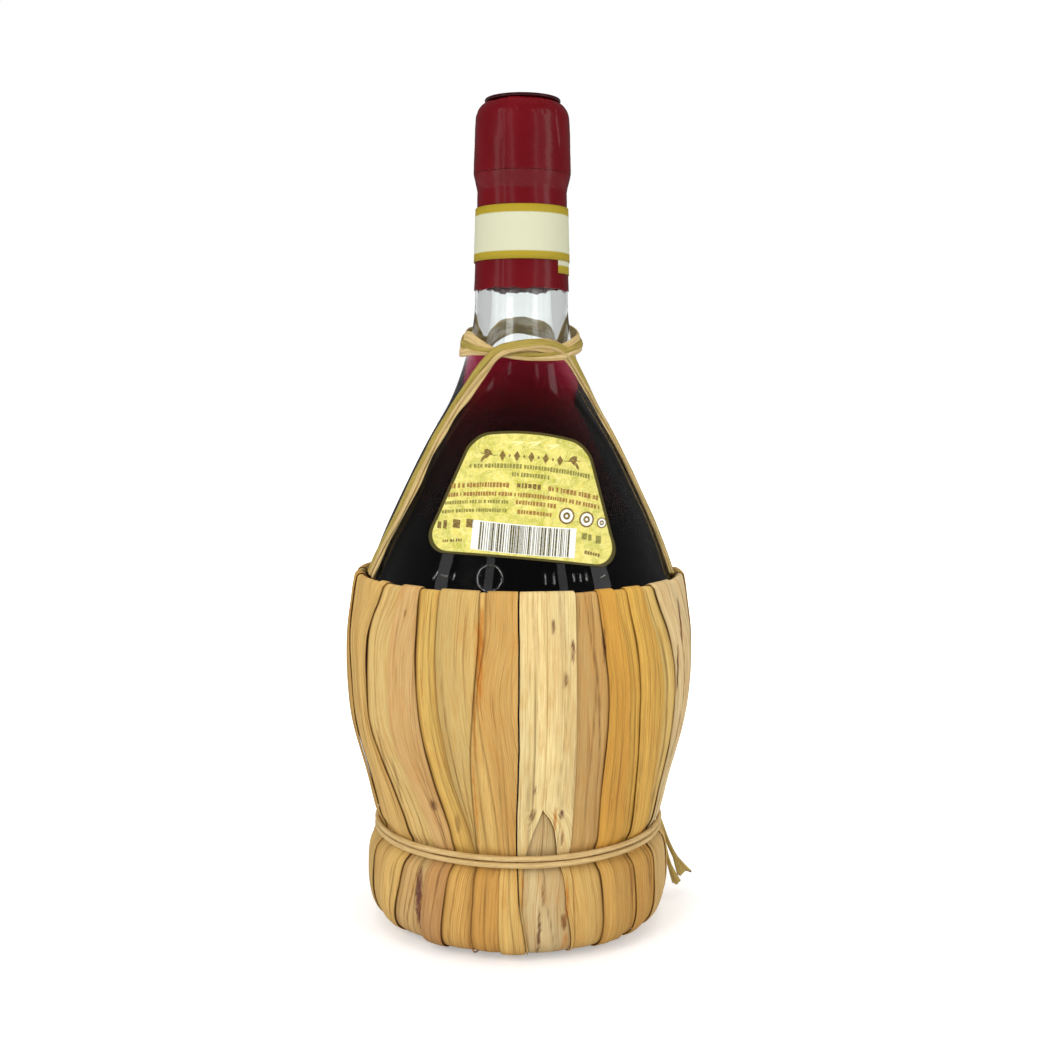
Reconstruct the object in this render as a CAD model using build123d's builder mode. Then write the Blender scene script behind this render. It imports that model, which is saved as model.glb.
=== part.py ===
from build123d import *
import math
import os

# A straw-covered wine flask. It stands on the floor plane, with its axis on Z and the
# printed label towards -Y. All sizes are in millimetres and all angles in degrees.

os.makedirs("parts", exist_ok=True)

# Glass flask
flask_radius = 52.2
flask_foot_height = 6.0
flask_foot_radius = 14.0
push_up = 1.0
bowl_rise = 78.0
shoulder_rise = 112.0
wall = 2.8
floor_thickness = 3.5
neck_length = 32.2
neck_foot_radius = 14.3
neck_top_radius = 13.3
bore_radius = 9.25
lip_step_rise = 3.4
lip_radius = 14.5
lip_top_radius = 13.9
lip_length = 17.4
lip_round_rise = 4.3
mouth_round = 1.0
# share of the way from the belly up to the neck, share of the way from the neck out to the belly
shoulder_shares = (
    (0.116, 0.969),
    (0.223, 0.877),
    (0.322, 0.771),
    (0.474, 0.567),
    (0.628, 0.333),
    (0.703, 0.207),
    (0.759, 0.138),
    (0.815, 0.084),
    (0.871, 0.042),
    (0.929, 0.0105),
)
rim_station = 1
# share of the turn from the belly down to the foot at which the bowl's stations lie
bowl_shares = (1.0, 0.83, 0.66, 0.5, 0.33, 0.16, 0.0)

# Wine and cork
wine_drop = 18.5
wine_gap = 0.15
cork_length = 38.0
cork_gap = 0.12
cork_sink = 0.6
cork_chamfer = 0.8

# Capsule and its top disc
foil = 0.25
foil_gap = 0.15
foil_foot_rise = 1.0
foil_cut_rise = 0.4
foil_cut_gap = 0.12
foil_eye_radius = 8.6
disc_radius = 11.6
disc_thickness = 1.0
disc_edge = 0.3
disc_gap = 0.05

# Paper band round the neck
band_thickness = 0.15
band_gap = 0.1
band_rise = 9.6
band_height = 16.2
band_drop = 3.9
band_lap_start = 49.5
band_lap_turn = 75.0

# Printed label on the shoulder, as it is seen from the front
label_thickness = 0.15
label_gap = 0.1
label_right = 1.6
label_rise = 50.6
label_turn = -4.6
label_top_width = 34.5
label_foot_width = 58.0
label_height = 34.5
label_top_bow = 2.4
label_foot_bow = 1.6
label_top_corner = 7.0
label_foot_corner = 5.0

# Straw cover: strips folded over a cord at the rim and tucked under the foot
strip_thickness = 0.4
strip_gap = 0.15
tuck_radius = 30.0
tuck_bend_radius = 35.6
rim_cord_radius = 0.8
rim_clearance = 0.5
side_lean = 12.8
rim_drop = 0.3
lap_length = 7.0
base_disc_radius = 34.0
base_disc_thickness = 1.2
base_disc_round = 0.3
ring_inner_radius = 27.0
ring_top_height = 25.5
ring_gap = 0.3
# share of the way from the floor up to the rim, share of the flask's radius
cover_shares = (
    (0.020, 0.800),
    (0.059, 0.860),
    (0.152, 0.893),
    (0.204, 0.882),
    (0.222, 0.866),
    (0.243, 0.822),
    (0.268, 0.816),
    (0.288, 0.822),
    (0.308, 0.845),
    (0.332, 0.861),
    (0.420, 0.903),
    (0.498, 0.947),
    (0.585, 0.991),
    (0.682, 1.016),
    (0.766, 1.023),
    (0.860, 1.014),
    (0.935, 0.993),
)
# Each strip's two edges, counted from the front towards the right, and its layer
strip_edges = (
    (-0.3, -9.8, 1),
    (-9.8, -13.9, 0),
    (-13.9, -24.0, 1),
    (-24.0, -31.3, 0),
    (-31.3, -40.2, 1),
    (-40.2, -51.4, 0),
    (-51.4, -62.5, 1),
    (-62.5, -72.0, 0),
    (-72.0, -83.0, 1),
    (-83.0, -94.0, 0),
    (-94.0, -106.5, 1),
    (-106.5, -114.0, 0),
    (-114.0, -127.5, 1),
    (-127.5, -137.0, 0),
    (-137.0, -146.0, 1),
    (-146.0, -157.5, 0),
    (-157.5, -171.0, 1),
    (-171.0, -178.5, 0),
    (-178.5, -192.0, 1),
    (-192.0, -201.5, 0),
    (-201.5, -214.0, 1),
    (-214.0, -222.0, 0),
    (-222.0, -233.5, 1),
    (-233.5, -245.5, 0),
    (-245.5, -255.0, 1),
    (-255.0, -263.0, 0),
    (-263.0, -275.0, 1),
    (-275.0, -290.0, 0),
    (-290.0, -304.0, 1),
    (-304.0, -313.7, 0),
    (-313.7, -324.0, 1),
    (-324.0, -327.6, 0),
    (-327.6, -335.1, 1),
    (-335.1, -343.0, 0),
    (-343.0, -359.7, 1),
)
strip_lap = 1.6
# The widest strip at the front is split at its foot, and shows one more strip behind it
split_strip = 35
split_angle = 8.5
split_height = 47.4
split_waist_width = 7.6
split_foot_width = 10.0
behind_edges = (13.6, 2.8)

# String round the waist, with its knot and two tails
waist_share = 0.265
string_diameter = 1.5
string_gap = 0.15
string_pitch = 1.95
string_turns = 2
knot_angle = 107.0
knot_length = 6.4
knot_height = 5.2
knot_depth = 2.3
knot_round = 1.0
# Each tail's points, counted from the knot's seat: angle towards the right, distance out, distance up
tail_stations = (
    ((0.0, 0.3, -0.6), (0.0, 4.0, -7.6), (-0.2, 6.8, -17.1), (-0.7, 12.5, -25.6)),
    ((-2.2, 0.3, -1.2), (-2.8, 3.1, -9.1), (-3.9, 4.4, -18.1), (-4.6, 8.0, -26.4)),
)

# Leaf cord round the neck: angle from the front towards the right, radius, height
cord_diameter = 2.8
cord_stations = (
    (-67.0, 48.4, 111.3),
    (-62.5, 45.6, 121.5),
    (-60.5, 40.4, 133.0),
    (-61.0, 33.4, 146.5),
    (-56.0, 25.9, 161.5),
    (-43.0, 23.6, 170.5),
    (-27.0, 24.0, 178.6),
    (-8.0, 21.0, 182.6),
    (20.0, 18.5, 183.4),
    (50.0, 18.3, 183.4),
    (80.0, 18.1, 184.0),
    (110.0, 18.0, 184.8),
    (140.0, 17.9, 185.8),
    (170.0, 17.8, 186.3),
    (200.0, 17.9, 186.0),
    (230.0, 18.1, 184.8),
    (260.0, 18.6, 182.4),
    (288.0, 19.2, 179.4),
    (314.0, 19.8, 176.6),
    (340.0, 20.0, 176.0),
    (366.0, 19.8, 176.8),
    (391.0, 19.9, 176.9),
    (415.0, 20.8, 174.6),
    (434.0, 23.4, 167.0),
    (444.0, 28.9, 155.0),
    (447.0, 36.9, 140.0),
    (447.0, 43.8, 126.0),
    (447.0, 48.4, 111.3),
)


# Heights, from the foot up
belly_height = flask_foot_height + bowl_rise
neck_foot_height = belly_height + shoulder_rise
lip_foot_height = neck_foot_height + neck_length
lip_height = lip_foot_height + lip_step_rise
lip_shoulder_height = lip_height + lip_length
flask_height = lip_shoulder_height + lip_round_rise
wine_level = neck_foot_height - wine_drop
foil_foot_height = neck_foot_height + foil_foot_rise
foil_cut_height = lip_height + foil_cut_rise
band_foot_height = neck_foot_height + band_rise

# Profiles
foot_squash = math.sqrt(1 - (flask_foot_radius / flask_radius) ** 2)
foot_drop = bowl_rise / foot_squash
foot_turn = math.degrees(math.acos(flask_foot_radius / flask_radius))
inner_radius = flask_radius - wall


def directions_at(points, start, end):
    """The directions at points: given at both ends, and elsewhere those of the circle through
    a point and its neighbours."""
    stations = [Vector(*point) for point in points]
    directions = [Vector(*start).normalized()]
    for before, station, after in zip(stations, stations[1:], stations[2:]):
        arriving = station - before
        leaving = after - station
        blend = arriving.normalized() * leaving.length + leaving.normalized() * arriving.length
        directions.append(blend.normalized())
    directions.append(Vector(*end).normalized())
    return directions


def smooth_line(points, start, end):
    """A smooth line through points, with its direction given at both ends."""
    return Spline(*points, tangents=[start, end], tangent_scalars=(1, 1))


def shoulder_points(outer, inner):
    """The shoulder's stations between the belly and the foot of the neck."""
    rise = neck_foot_height - belly_height
    stations = [(outer, belly_height)]
    for up, out in shoulder_shares:
        stations.append((inner + (outer - inner) * out, belly_height + rise * up))
    stations.append((inner, neck_foot_height))
    return stations


def shoulder_curve(outer, inner):
    """A smooth line from the belly to the foot of the neck."""
    return smooth_line(shoulder_points(outer, inner), (0, 1), (0, 1))


def bowl_curve(radius, depth, turn):
    """The flask below its belly: part of an ellipse that ends level with the belly."""
    points = []
    for share in bowl_shares:
        angle = math.radians(-turn * share)
        points.append((radius * math.cos(angle), belly_height + depth * math.sin(angle)))
    start = math.radians(turn)
    return smooth_line(points, (radius * math.sin(start), depth * math.cos(start)), (0, 1))


def flask_hollow(clearance):
    """The outline of the flask's inside, drawn smaller by a clearance."""
    belly = inner_radius - clearance
    bore = bore_radius - clearance
    depth = bowl_rise - floor_thickness - clearance
    axis_foot = (0, belly_height - depth)
    bowl_curve(belly, depth, 90)
    shoulder_curve(belly, bore)
    Polyline((bore, neck_foot_height), (bore, flask_height), (0, flask_height), axis_foot)


def cover_points():
    """The stations of the surface that the strips lie on, from the tuck up to the rim."""
    rise = rim_height - cover_floor
    stations = [(tuck_bend_radius, cover_floor)]
    for up, out in cover_shares:
        stations.append((flask_radius * out, cover_floor + rise * up))
    lean = math.radians(side_lean)
    rim_out = rim_radius + rim_cord_radius * math.cos(lean)
    stations.append((rim_out, rim_height + rim_cord_radius * math.sin(lean)))
    return stations


def cover_side(distance):
    """The cover's side at a distance outside the stations, from the tuck up to the rim."""
    points = []
    for station, direction in zip(cover_stations, cover_directions):
        points.append((station[0] + distance * direction.Y, station[1] - distance * direction.X))
    return smooth_line(points, (1, 0), side_slope)


def cover_curve(distance):
    """One face of a strip: tucked under, up the side, over the rim and down inside."""
    fold = rim_cord_radius + distance
    side = cover_side(distance)
    start = Line((tuck_radius, (side @ 0).Y), side @ 0)
    turn = CenterArc((rim_radius, rim_height), fold, side_lean, 180 + rim_lean - side_lean)
    lap = PolarLine(turn @ 1, lap_length, angle=rim_lean - 90)
    return start @ 0, lap @ 1


def around(angle):
    """The plane through the axis at an angle from the front towards the right."""
    turn = math.radians(angle - 90)
    outward = Vector(math.cos(turn), math.sin(turn), 0)
    return Plane(origin=(0, 0, 0), x_dir=outward, z_dir=outward.cross(Vector(0, 0, 1)))


def facing(angle, radius, height):
    """A plane that faces outward at an angle, a radius and a height, with +X to the right."""
    turn = math.radians(angle - 90)
    outward = Vector(math.cos(turn), math.sin(turn), 0)
    return Plane(origin=place(angle, radius, height), x_dir=Vector(0, 0, 1).cross(outward), z_dir=outward)


def place(angle, radius, height):
    """A point at an angle from the front towards the right, a radius and a height."""
    turn = math.radians(angle - 90)
    return (radius * math.cos(turn), radius * math.sin(turn), height)


def corner_radii(route):
    """Fillet radii that use 0.45 of the shorter run at each corner."""
    radii = []
    for before, corner, after in zip(route, route[1:], route[2:]):
        arriving = Vector(*corner) - Vector(*before)
        leaving = Vector(*after) - Vector(*corner)
        half_turn = math.radians(arriving.get_angle(leaving)) / 2
        shorter = min(arriving.length, leaving.length)
        radii.append(0.45 * shorter / math.tan(half_turn))
    return radii


def least_gap(path, diameter, samples):
    """The least gap between stretches of one tube that aren't neighbours along it."""
    points = [path.position_at(i / samples) for i in range(samples + 1)]
    step = path.length / samples
    apart = int(4 * diameter / step) + 1
    least = path.length
    for i in range(samples + 1 - apart):
        for other in points[i + apart:]:
            least = min(least, (points[i] - other).length)
    return least - diameter


layer = strip_thickness + strip_gap
stack = 2 * layer
cover_floor = base_disc_thickness + strip_gap + stack
glass_stations = shoulder_points(flask_radius, neck_foot_radius)
rim_glass_radius, rim_glass_height = glass_stations[rim_station + 1]
rim_slope = directions_at(glass_stations, (0, 1), (0, 1))[rim_station + 1]
rim_lean = math.degrees(math.atan2(-rim_slope.X, rim_slope.Y))
rim_radius = rim_glass_radius + rim_clearance + stack + rim_cord_radius
rim_height = rim_glass_height - rim_drop
cover_stations = cover_points()
side_slope = (-math.sin(math.radians(side_lean)), math.cos(math.radians(side_lean)))
cover_directions = directions_at(cover_stations, (1, 0), side_slope)
waist_height = cover_floor + (rim_height - cover_floor) * waist_share


# Glass
with BuildPart() as glass_flask:
    with BuildSketch(Plane.XZ):
        with BuildLine():
            bottom = ThreePointArc(
                (0, flask_foot_height + push_up),
                (flask_foot_radius / 2, flask_foot_height + push_up * 3 / 4),
                (flask_foot_radius, flask_foot_height),
            )
            bowl_curve(flask_radius, foot_drop, foot_turn)
            shoulder_curve(flask_radius, neck_foot_radius)
            neck = Line((neck_foot_radius, neck_foot_height), (neck_top_radius, lip_foot_height))
            lip_step = Line(neck @ 1, (lip_radius, lip_height))
            lip = Line(lip_step @ 1, (lip_top_radius, lip_shoulder_height))
            mouth = (bore_radius + mouth_round, flask_height)
            lip_round = smooth_line([lip @ 1, mouth], lip % 1, (-1, 0))
            Polyline(lip_round @ 1, (0, flask_height), bottom @ 0)
        make_face()
        with BuildLine():
            flask_hollow(0)
        make_face(mode=Mode.SUBTRACT)
    revolve(axis=Axis.Z)
glass_flask.part.label = "glass_flask"
export_step(glass_flask.part, "parts/glass_flask.step")

with BuildPart() as wine:
    with BuildSketch(Plane.XZ) as wine_section:
        with BuildLine():
            flask_hollow(wine_gap)
        make_face()
        with Locations((0, wine_level)):
            Rectangle(flask_radius, flask_height, align=(Align.MIN, Align.MIN), mode=Mode.SUBTRACT)
    revolve(axis=Axis.Z)
wine.part.label = "wine"
export_step(wine.part, "parts/wine.step")

with BuildPart() as cork:
    with BuildSketch(Plane.XY.offset(flask_height - cork_sink - cork_length)):
        Circle(bore_radius - cork_gap)
    extrude(amount=cork_length)
    chamfer(cork.edges().filter_by(GeomType.CIRCLE), length=cork_chamfer)
cork.part.label = "cork"
export_step(cork.part, "parts/cork.step")


# Capsule
def foil_line(clearance):
    """The lip's outline from the foil's foot up to its eye, drawn larger by a clearance."""
    fall = (neck_foot_radius - neck_top_radius) / (lip_foot_height - neck_foot_height)
    foot = neck_foot_radius - fall * (foil_foot_height - neck_foot_height) + clearance
    side = Polyline(
        (foot, foil_foot_height),
        (neck_top_radius + clearance, lip_foot_height - clearance / 2),
        (lip_radius + clearance, lip_height - clearance / 2),
        (lip_top_radius + clearance, lip_shoulder_height),
    )
    mouth = (bore_radius + mouth_round, flask_height + clearance)
    bend = smooth_line([side @ 1, mouth], side % 1, (-1, 0))
    top = Line(bend @ 1, (foil_eye_radius, flask_height + clearance))
    return side @ 0, top @ 1


def foil_outline():
    """The foil's section, from its torn foot to the eye under the top disc."""
    inner_foot, inner_eye = foil_line(foil_gap)
    outer_foot, outer_eye = foil_line(foil_gap + foil)
    Line(inner_foot, outer_foot)
    Line(inner_eye, outer_eye)


with BuildPart() as capsule_skirt:
    with BuildSketch(Plane.XZ):
        with BuildLine():
            foil_outline()
        make_face()
        with Locations((0, foil_cut_height - foil_cut_gap / 2)):
            Rectangle(flask_radius, flask_height, align=(Align.MIN, Align.MIN), mode=Mode.SUBTRACT)
    revolve(axis=Axis.Z)
capsule_skirt.part.label = "capsule_skirt"
export_step(capsule_skirt.part, "parts/capsule_skirt.step")

with BuildPart() as capsule_cap:
    with BuildSketch(Plane.XZ):
        with BuildLine():
            foil_outline()
        make_face()
        with Locations((0, foil_cut_height + foil_cut_gap / 2)):
            Rectangle(flask_radius, flask_height, align=(Align.MIN, Align.MAX), mode=Mode.SUBTRACT)
    revolve(axis=Axis.Z)
capsule_cap.part.label = "capsule_cap"
export_step(capsule_cap.part, "parts/capsule_cap.step")

disc_foot = flask_height + foil_gap + foil + disc_gap
with BuildPart() as capsule_disc:
    with BuildSketch(Plane.XY.offset(disc_foot)):
        Circle(disc_radius)
    extrude(amount=disc_thickness)
    fillet(capsule_disc.edges().group_by(Axis.Z)[-1], radius=disc_edge)
capsule_disc.part.label = "capsule_disc"
export_step(capsule_disc.part, "parts/capsule_disc.step")

# Paper band: one turn round the foil, lapped over its own lower end
band_low = band_foot_height - band_drop
band_rise_share = (band_low - neck_foot_height) / (lip_foot_height - neck_foot_height)
band_foil = neck_foot_radius - (neck_foot_radius - neck_top_radius) * band_rise_share
band_radius = band_foil + foil_gap + foil + band_gap
with BuildPart() as neck_band:
    with BuildSketch(Plane.XZ):
        with Locations((band_radius + band_thickness, band_foot_height)):
            Rectangle(band_thickness, band_height, align=(Align.MIN, Align.MIN))
    revolve(axis=Axis.Z)
    with BuildSketch(around(band_lap_start)):
        with Locations((band_radius, band_low)):
            Rectangle(band_thickness, band_height, align=(Align.MIN, Align.MIN))
    revolve(axis=Axis.Z, revolution_arc=band_lap_turn)
neck_band.part.label = "neck_band"
export_step(neck_band.part, "parts/neck_band.step")

# Printed label: a piece of the shoulder's surface, cut to the outline seen from the front
label_top = label_height / 2
label_slant = math.radians(label_turn)
label_plane = Plane(
    origin=(label_right, 0, belly_height + label_rise),
    x_dir=(math.cos(label_slant), 0, math.sin(label_slant)),
    z_dir=(0, -1, 0),
)
with BuildPart() as back_label:
    with BuildSketch(around(-90)):
        with BuildLine():
            near = shoulder_curve(flask_radius + label_gap, neck_foot_radius + label_gap)
            far_gap = label_gap + label_thickness
            far = shoulder_curve(flask_radius + far_gap, neck_foot_radius + far_gap)
            Line(near @ 0, far @ 0)
            Line(near @ 1, far @ 1)
        make_face()
    revolve(axis=Axis.Z, revolution_arc=180)
    with BuildSketch(label_plane):
        with BuildLine():
            top = ThreePointArc(
                (-label_top_width / 2, label_top - label_top_bow),
                (0, label_top),
                (label_top_width / 2, label_top - label_top_bow),
            )
            foot = ThreePointArc(
                (-label_foot_width / 2, -label_top),
                (0, label_foot_bow - label_top),
                (label_foot_width / 2, -label_top),
            )
            Line(top @ 0, foot @ 0)
            Line(top @ 1, foot @ 1)
        outline = make_face()
        fillet(outline.vertices().sort_by(Axis.Y)[-2:], radius=label_top_corner)
        fillet(outline.vertices().sort_by(Axis.Y)[:2], radius=label_foot_corner)
    extrude(amount=flask_radius * 2, mode=Mode.INTERSECT)
back_label.part.label = "back_label"
export_step(back_label.part, "parts/back_label.step")


# Straw cover
with BuildPart() as rim_cord:
    with BuildSketch(Plane.XZ):
        with Locations((rim_radius, rim_height)):
            Circle(rim_cord_radius)
    revolve(axis=Axis.Z)
rim_cord.part.label = "rim_cord"
export_step(rim_cord.part, "parts/rim_cord.step")

with BuildPart() as base_disc:
    Cylinder(base_disc_radius, base_disc_thickness, align=(Align.CENTER, Align.CENTER, Align.MIN))
    fillet(base_disc.edges().group_by(Axis.Z)[0], radius=base_disc_round)
base_disc.part.label = "base_disc"
export_step(base_disc.part, "parts/base_disc.step")

# The foot ring fills the room between the bowl and the strips, down to the turned ends
with BuildPart() as foot_ring:
    with BuildSketch(Plane.XZ):
        with BuildLine():
            ring_side = cover_side(-ring_gap)
            Polyline(ring_side @ 1, (0, rim_height), (0, (ring_side @ 0).Y), ring_side @ 0)
        make_face()
        with BuildLine():
            bowl_curve(flask_radius + ring_gap, foot_drop + ring_gap, 90)
            Line((flask_radius + ring_gap, belly_height), (0, belly_height))
            Line((0, belly_height), (0, belly_height - foot_drop - ring_gap))
        make_face(mode=Mode.SUBTRACT)
        with Locations((ring_inner_radius, 0)):
            Rectangle(flask_radius, ring_top_height, align=(Align.MIN, Align.MIN), mode=Mode.INTERSECT)
    revolve(axis=Axis.Z)
foot_ring.part.label = "foot_ring"
export_step(foot_ring.part, "parts/foot_ring.step")


def strip_outline(level):
    """A strip's section along the cover: one of two layers, each face a gap apart."""
    near_gap = strip_gap + level * layer
    near_tuck, near_lap = cover_curve(near_gap)
    far_tuck, far_lap = cover_curve(near_gap + strip_thickness)
    Line(near_tuck, far_tuck)
    Line(near_lap, far_lap)


def strip(right, left, level):
    """One leaf strip between two angles, which laps under its neighbours if it is low."""
    lap = strip_lap * (1 - level)
    with BuildPart() as leaf:
        with BuildSketch(around(left - lap)):
            with BuildLine():
                strip_outline(level)
            make_face()
        revolve(axis=Axis.Z, revolution_arc=right - left + 2 * lap)
    return leaf.part


for number, (right, left, level) in enumerate(strip_edges, start=1):
    leaf = strip(right, left, level)
    with BuildPart() as husk_strip:
        add(leaf)
        if number == split_strip:
            with BuildSketch(facing(split_angle, tuck_bend_radius, 0)):
                with BuildLine():
                    Polyline(
                        (0, split_height),
                        (split_waist_width / 2, waist_height),
                        (split_foot_width / 2, 0),
                        (-split_foot_width / 2, 0),
                        (-split_waist_width / 2, waist_height),
                        close=True,
                    )
                make_face()
            extrude(amount=flask_radius, mode=Mode.SUBTRACT)
    name = f"husk_strip_{number:02d}"
    husk_strip.part.label = name
    export_step(husk_strip.part, f"parts/{name}.step")

with BuildPart() as husk_strip_behind:
    add(strip(*behind_edges, 0))
husk_strip_behind.part.label = "husk_strip_behind"
export_step(husk_strip_behind.part, "parts/husk_strip_behind.step")


# String round the waist: one piece wound from the knot round to the knot again
string_foot = waist_height - string_pitch * string_turns / 2
string_top = waist_height + string_pitch * string_turns / 2
string_low = string_foot - string_diameter
string_high = string_top + string_diameter
string_core = max(radius for radius, height in cover_stations if string_low <= height <= string_high)
string_radius = string_core + stack + string_gap + string_diameter / 2
climb = string_pitch / 4
with BuildPart() as waist_tie:
    with BuildLine() as string_line:
        for half in range(2 * string_turns):
            angle = knot_angle + 180 * half
            height = string_foot + 2 * climb * half
            ThreePointArc(
                place(angle, string_radius, height),
                place(angle + 90, math.hypot(string_radius, climb), height + climb),
                place(angle + 180, string_radius, height + 2 * climb),
            )
    string_path = string_line.wire()
    with BuildSketch(Plane(origin=string_path @ 0, z_dir=string_path % 0)):
        Circle(string_diameter / 2)
    sweep(path=string_path)
waist_tie.part.label = "waist_tie"
export_step(waist_tie.part, "parts/waist_tie.step")

# The knot lies on the string, and its two tails hang down over the foot
knot_seat = string_radius + string_diameter / 2 + string_gap
tail_routes = []
for stations in tail_stations:
    tail_routes.append([place(knot_angle + turn, knot_seat + out, waist_height + up) for turn, out, up in stations])
with BuildPart() as tie_knot:
    with BuildSketch(facing(knot_angle, knot_seat, waist_height)):
        Ellipse(knot_length / 2, knot_height / 2)
    extrude(amount=knot_depth)
    fillet(tie_knot.edges().group_by(SortBy.DISTANCE)[-1], radius=knot_round)
    for route in tail_routes:
        with BuildLine() as tail_line:
            FilletPolyline(*route, radius=corner_radii(route))
        tail_path = tail_line.wire()
        with BuildSketch(Plane(origin=tail_path @ 0, z_dir=tail_path % 0)):
            Circle(string_diameter / 2)
        sweep(path=tail_path)
tie_knot.part.label = "tie_knot"
export_step(tie_knot.part, "parts/tie_knot.step")

# Leaf cord: up from the rim on the left, round the neck, and down to the rim on the right
cord_route = [place(*station) for station in cord_stations]
with BuildPart() as neck_cord:
    with BuildLine() as cord_line:
        FilletPolyline(*cord_route, radius=corner_radii(cord_route))
    cord_path = cord_line.wire()
    with BuildSketch(Plane(origin=cord_path @ 0, z_dir=cord_path % 0)):
        Circle(cord_diameter / 2)
    sweep(path=cord_path)
neck_cord.part.label = "neck_cord"
export_step(neck_cord.part, "parts/neck_cord.step")

print("Wine, ml", round(wine.part.volume / 1000, 1))
print("Waist string, least gap", round(least_gap(string_path, string_diameter, 720), 2))
print("Neck cord, length", round(cord_path.length, 1))
print("Neck cord, bend radii", [round(radius, 1) for radius in corner_radii(cord_route)])
print("Neck cord, least gap", round(least_gap(cord_path, cord_diameter, 400), 2))
for route in tail_routes:
    print("String tail, bend radii", [round(radius, 1) for radius in corner_radii(route)])
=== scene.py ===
import math

import bpy
import bmesh
import numpy as np
from mathutils import Matrix


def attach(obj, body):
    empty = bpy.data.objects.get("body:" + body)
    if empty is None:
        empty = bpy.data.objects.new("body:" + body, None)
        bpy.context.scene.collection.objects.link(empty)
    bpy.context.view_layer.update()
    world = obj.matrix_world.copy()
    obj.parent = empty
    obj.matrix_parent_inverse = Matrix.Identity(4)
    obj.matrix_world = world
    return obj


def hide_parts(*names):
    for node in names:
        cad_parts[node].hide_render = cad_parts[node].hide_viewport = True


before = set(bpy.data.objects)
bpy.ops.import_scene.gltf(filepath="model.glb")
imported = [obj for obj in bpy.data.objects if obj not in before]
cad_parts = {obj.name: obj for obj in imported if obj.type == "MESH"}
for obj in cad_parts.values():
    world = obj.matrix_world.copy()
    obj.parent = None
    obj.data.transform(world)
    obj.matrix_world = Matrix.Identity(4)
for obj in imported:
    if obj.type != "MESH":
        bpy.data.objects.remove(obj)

# A straw-covered wine flask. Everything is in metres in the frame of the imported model: the axis is Z, the
# printed label faces -Y. The tables below are in millimetres and degrees and are scaled where they are
# used; the studio's are in metres.

mm = 0.001
scene = bpy.context.scene
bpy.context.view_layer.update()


# Mesh helpers

def colour(red, green, blue):
    # sRGB from 0 to 255 to linear light
    share = np.array([red, green, blue]) / 255
    return tuple(np.where(share <= 0.04045, share / 12.92, ((share + 0.055) / 1.055) ** 2.4))


def unit(vectors):
    # each vector divided by its own length
    return vectors / np.linalg.norm(vectors, axis=-1, keepdims=True)


def lengthAlong(line):
    # the running length of a line of points, from 0
    return np.concatenate([[0], np.cumsum(np.linalg.norm(np.diff(line, axis=0), axis=1))])


def evenly(line, count, closed=False):
    # points at equal steps along a line; a closed one leaves out its last point
    reach = lengthAlong(line)
    at = np.linspace(0, reach[-1], count, endpoint=not closed)
    return np.stack([np.interp(at, reach, line[:, axis]) for axis in range(line.shape[1])], -1)


def wholeTurn(count, turn=360):
    # equal steps once round, without the last, which is the first again
    return np.linspace(0, turn, count, endpoint=False)


def signedTurn(angle):
    # an angle in degrees brought between -180 and 180
    return (angle + 180) % 360 - 180


def gridFaces(rows, columns, closedRows=False, closedColumns=False):
    # quads between neighbouring rows and columns of a grid, wrapped round where a direction is closed
    row = np.arange(rows if closedRows else rows - 1)[:, None]
    column = np.arange(columns if closedColumns else columns - 1)[None, :]
    nextRow = (row + 1) % rows
    nextColumn = (column + 1) % columns
    corners = [row * columns + column, row * columns + nextColumn,
               nextRow * columns + nextColumn, nextRow * columns + column]
    return np.stack([np.broadcast_to(c, (row.size, column.size)) for c in corners], -1).reshape(-1, 4)


def makePiece(name, points, faces, uv=None, tint=None, weld=False, smooth=True, caps=()):
    # a mesh object from point and face arrays, with an optional UV map and colour attribute for each point,
    # and caps given as lists of point numbers
    mesh = bpy.data.meshes.new(name)
    faces = np.asarray(faces).tolist() + list(caps)
    mesh.from_pydata(np.asarray(points).reshape(-1, 3).tolist(), [], faces)
    loopPoint = np.zeros(len(mesh.loops), dtype=np.int32)
    mesh.loops.foreach_get("vertex_index", loopPoint)
    if uv is not None:
        layer = mesh.uv_layers.new(name="surface")
        layer.data.foreach_set("uv", np.asarray(uv, float).reshape(-1, 2)[loopPoint].ravel())
    if tint is not None:
        layer = mesh.color_attributes.new("tint", "FLOAT_COLOR", "POINT")
        layer.data.foreach_set("color", np.asarray(tint, float).reshape(-1, 4).ravel())
    if weld:
        shell = bmesh.new()
        shell.from_mesh(mesh)
        bmesh.ops.remove_doubles(shell, verts=shell.verts, dist=1e-7)
        bmesh.ops.recalc_face_normals(shell, faces=shell.faces)
        shell.to_mesh(mesh)
        shell.free()
    mesh.polygons.foreach_set("use_smooth", [smooth] * len(mesh.polygons))
    mesh.update()
    piece = bpy.data.objects.new(name, mesh)
    scene.collection.objects.link(piece)
    return piece


def place(piece, body, slot, material, *nodes):
    # hangs a finished piece on its body with its material, and hides the CAD nodes that it stands for;
    # the slot is not used
    piece.data.materials.clear()
    piece.data.materials.append(material)
    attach(piece, body)
    if nodes:
        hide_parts(*nodes)
    return piece


def turnedPiece(name, profile, angles, relief=None):
    # a closed body from a profile that starts and ends on the axis or meets itself
    return makePiece(name, turned(profile, angles, relief),
                     gridFaces(len(profile), len(angles), closedColumns=True), weld=True)


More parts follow.
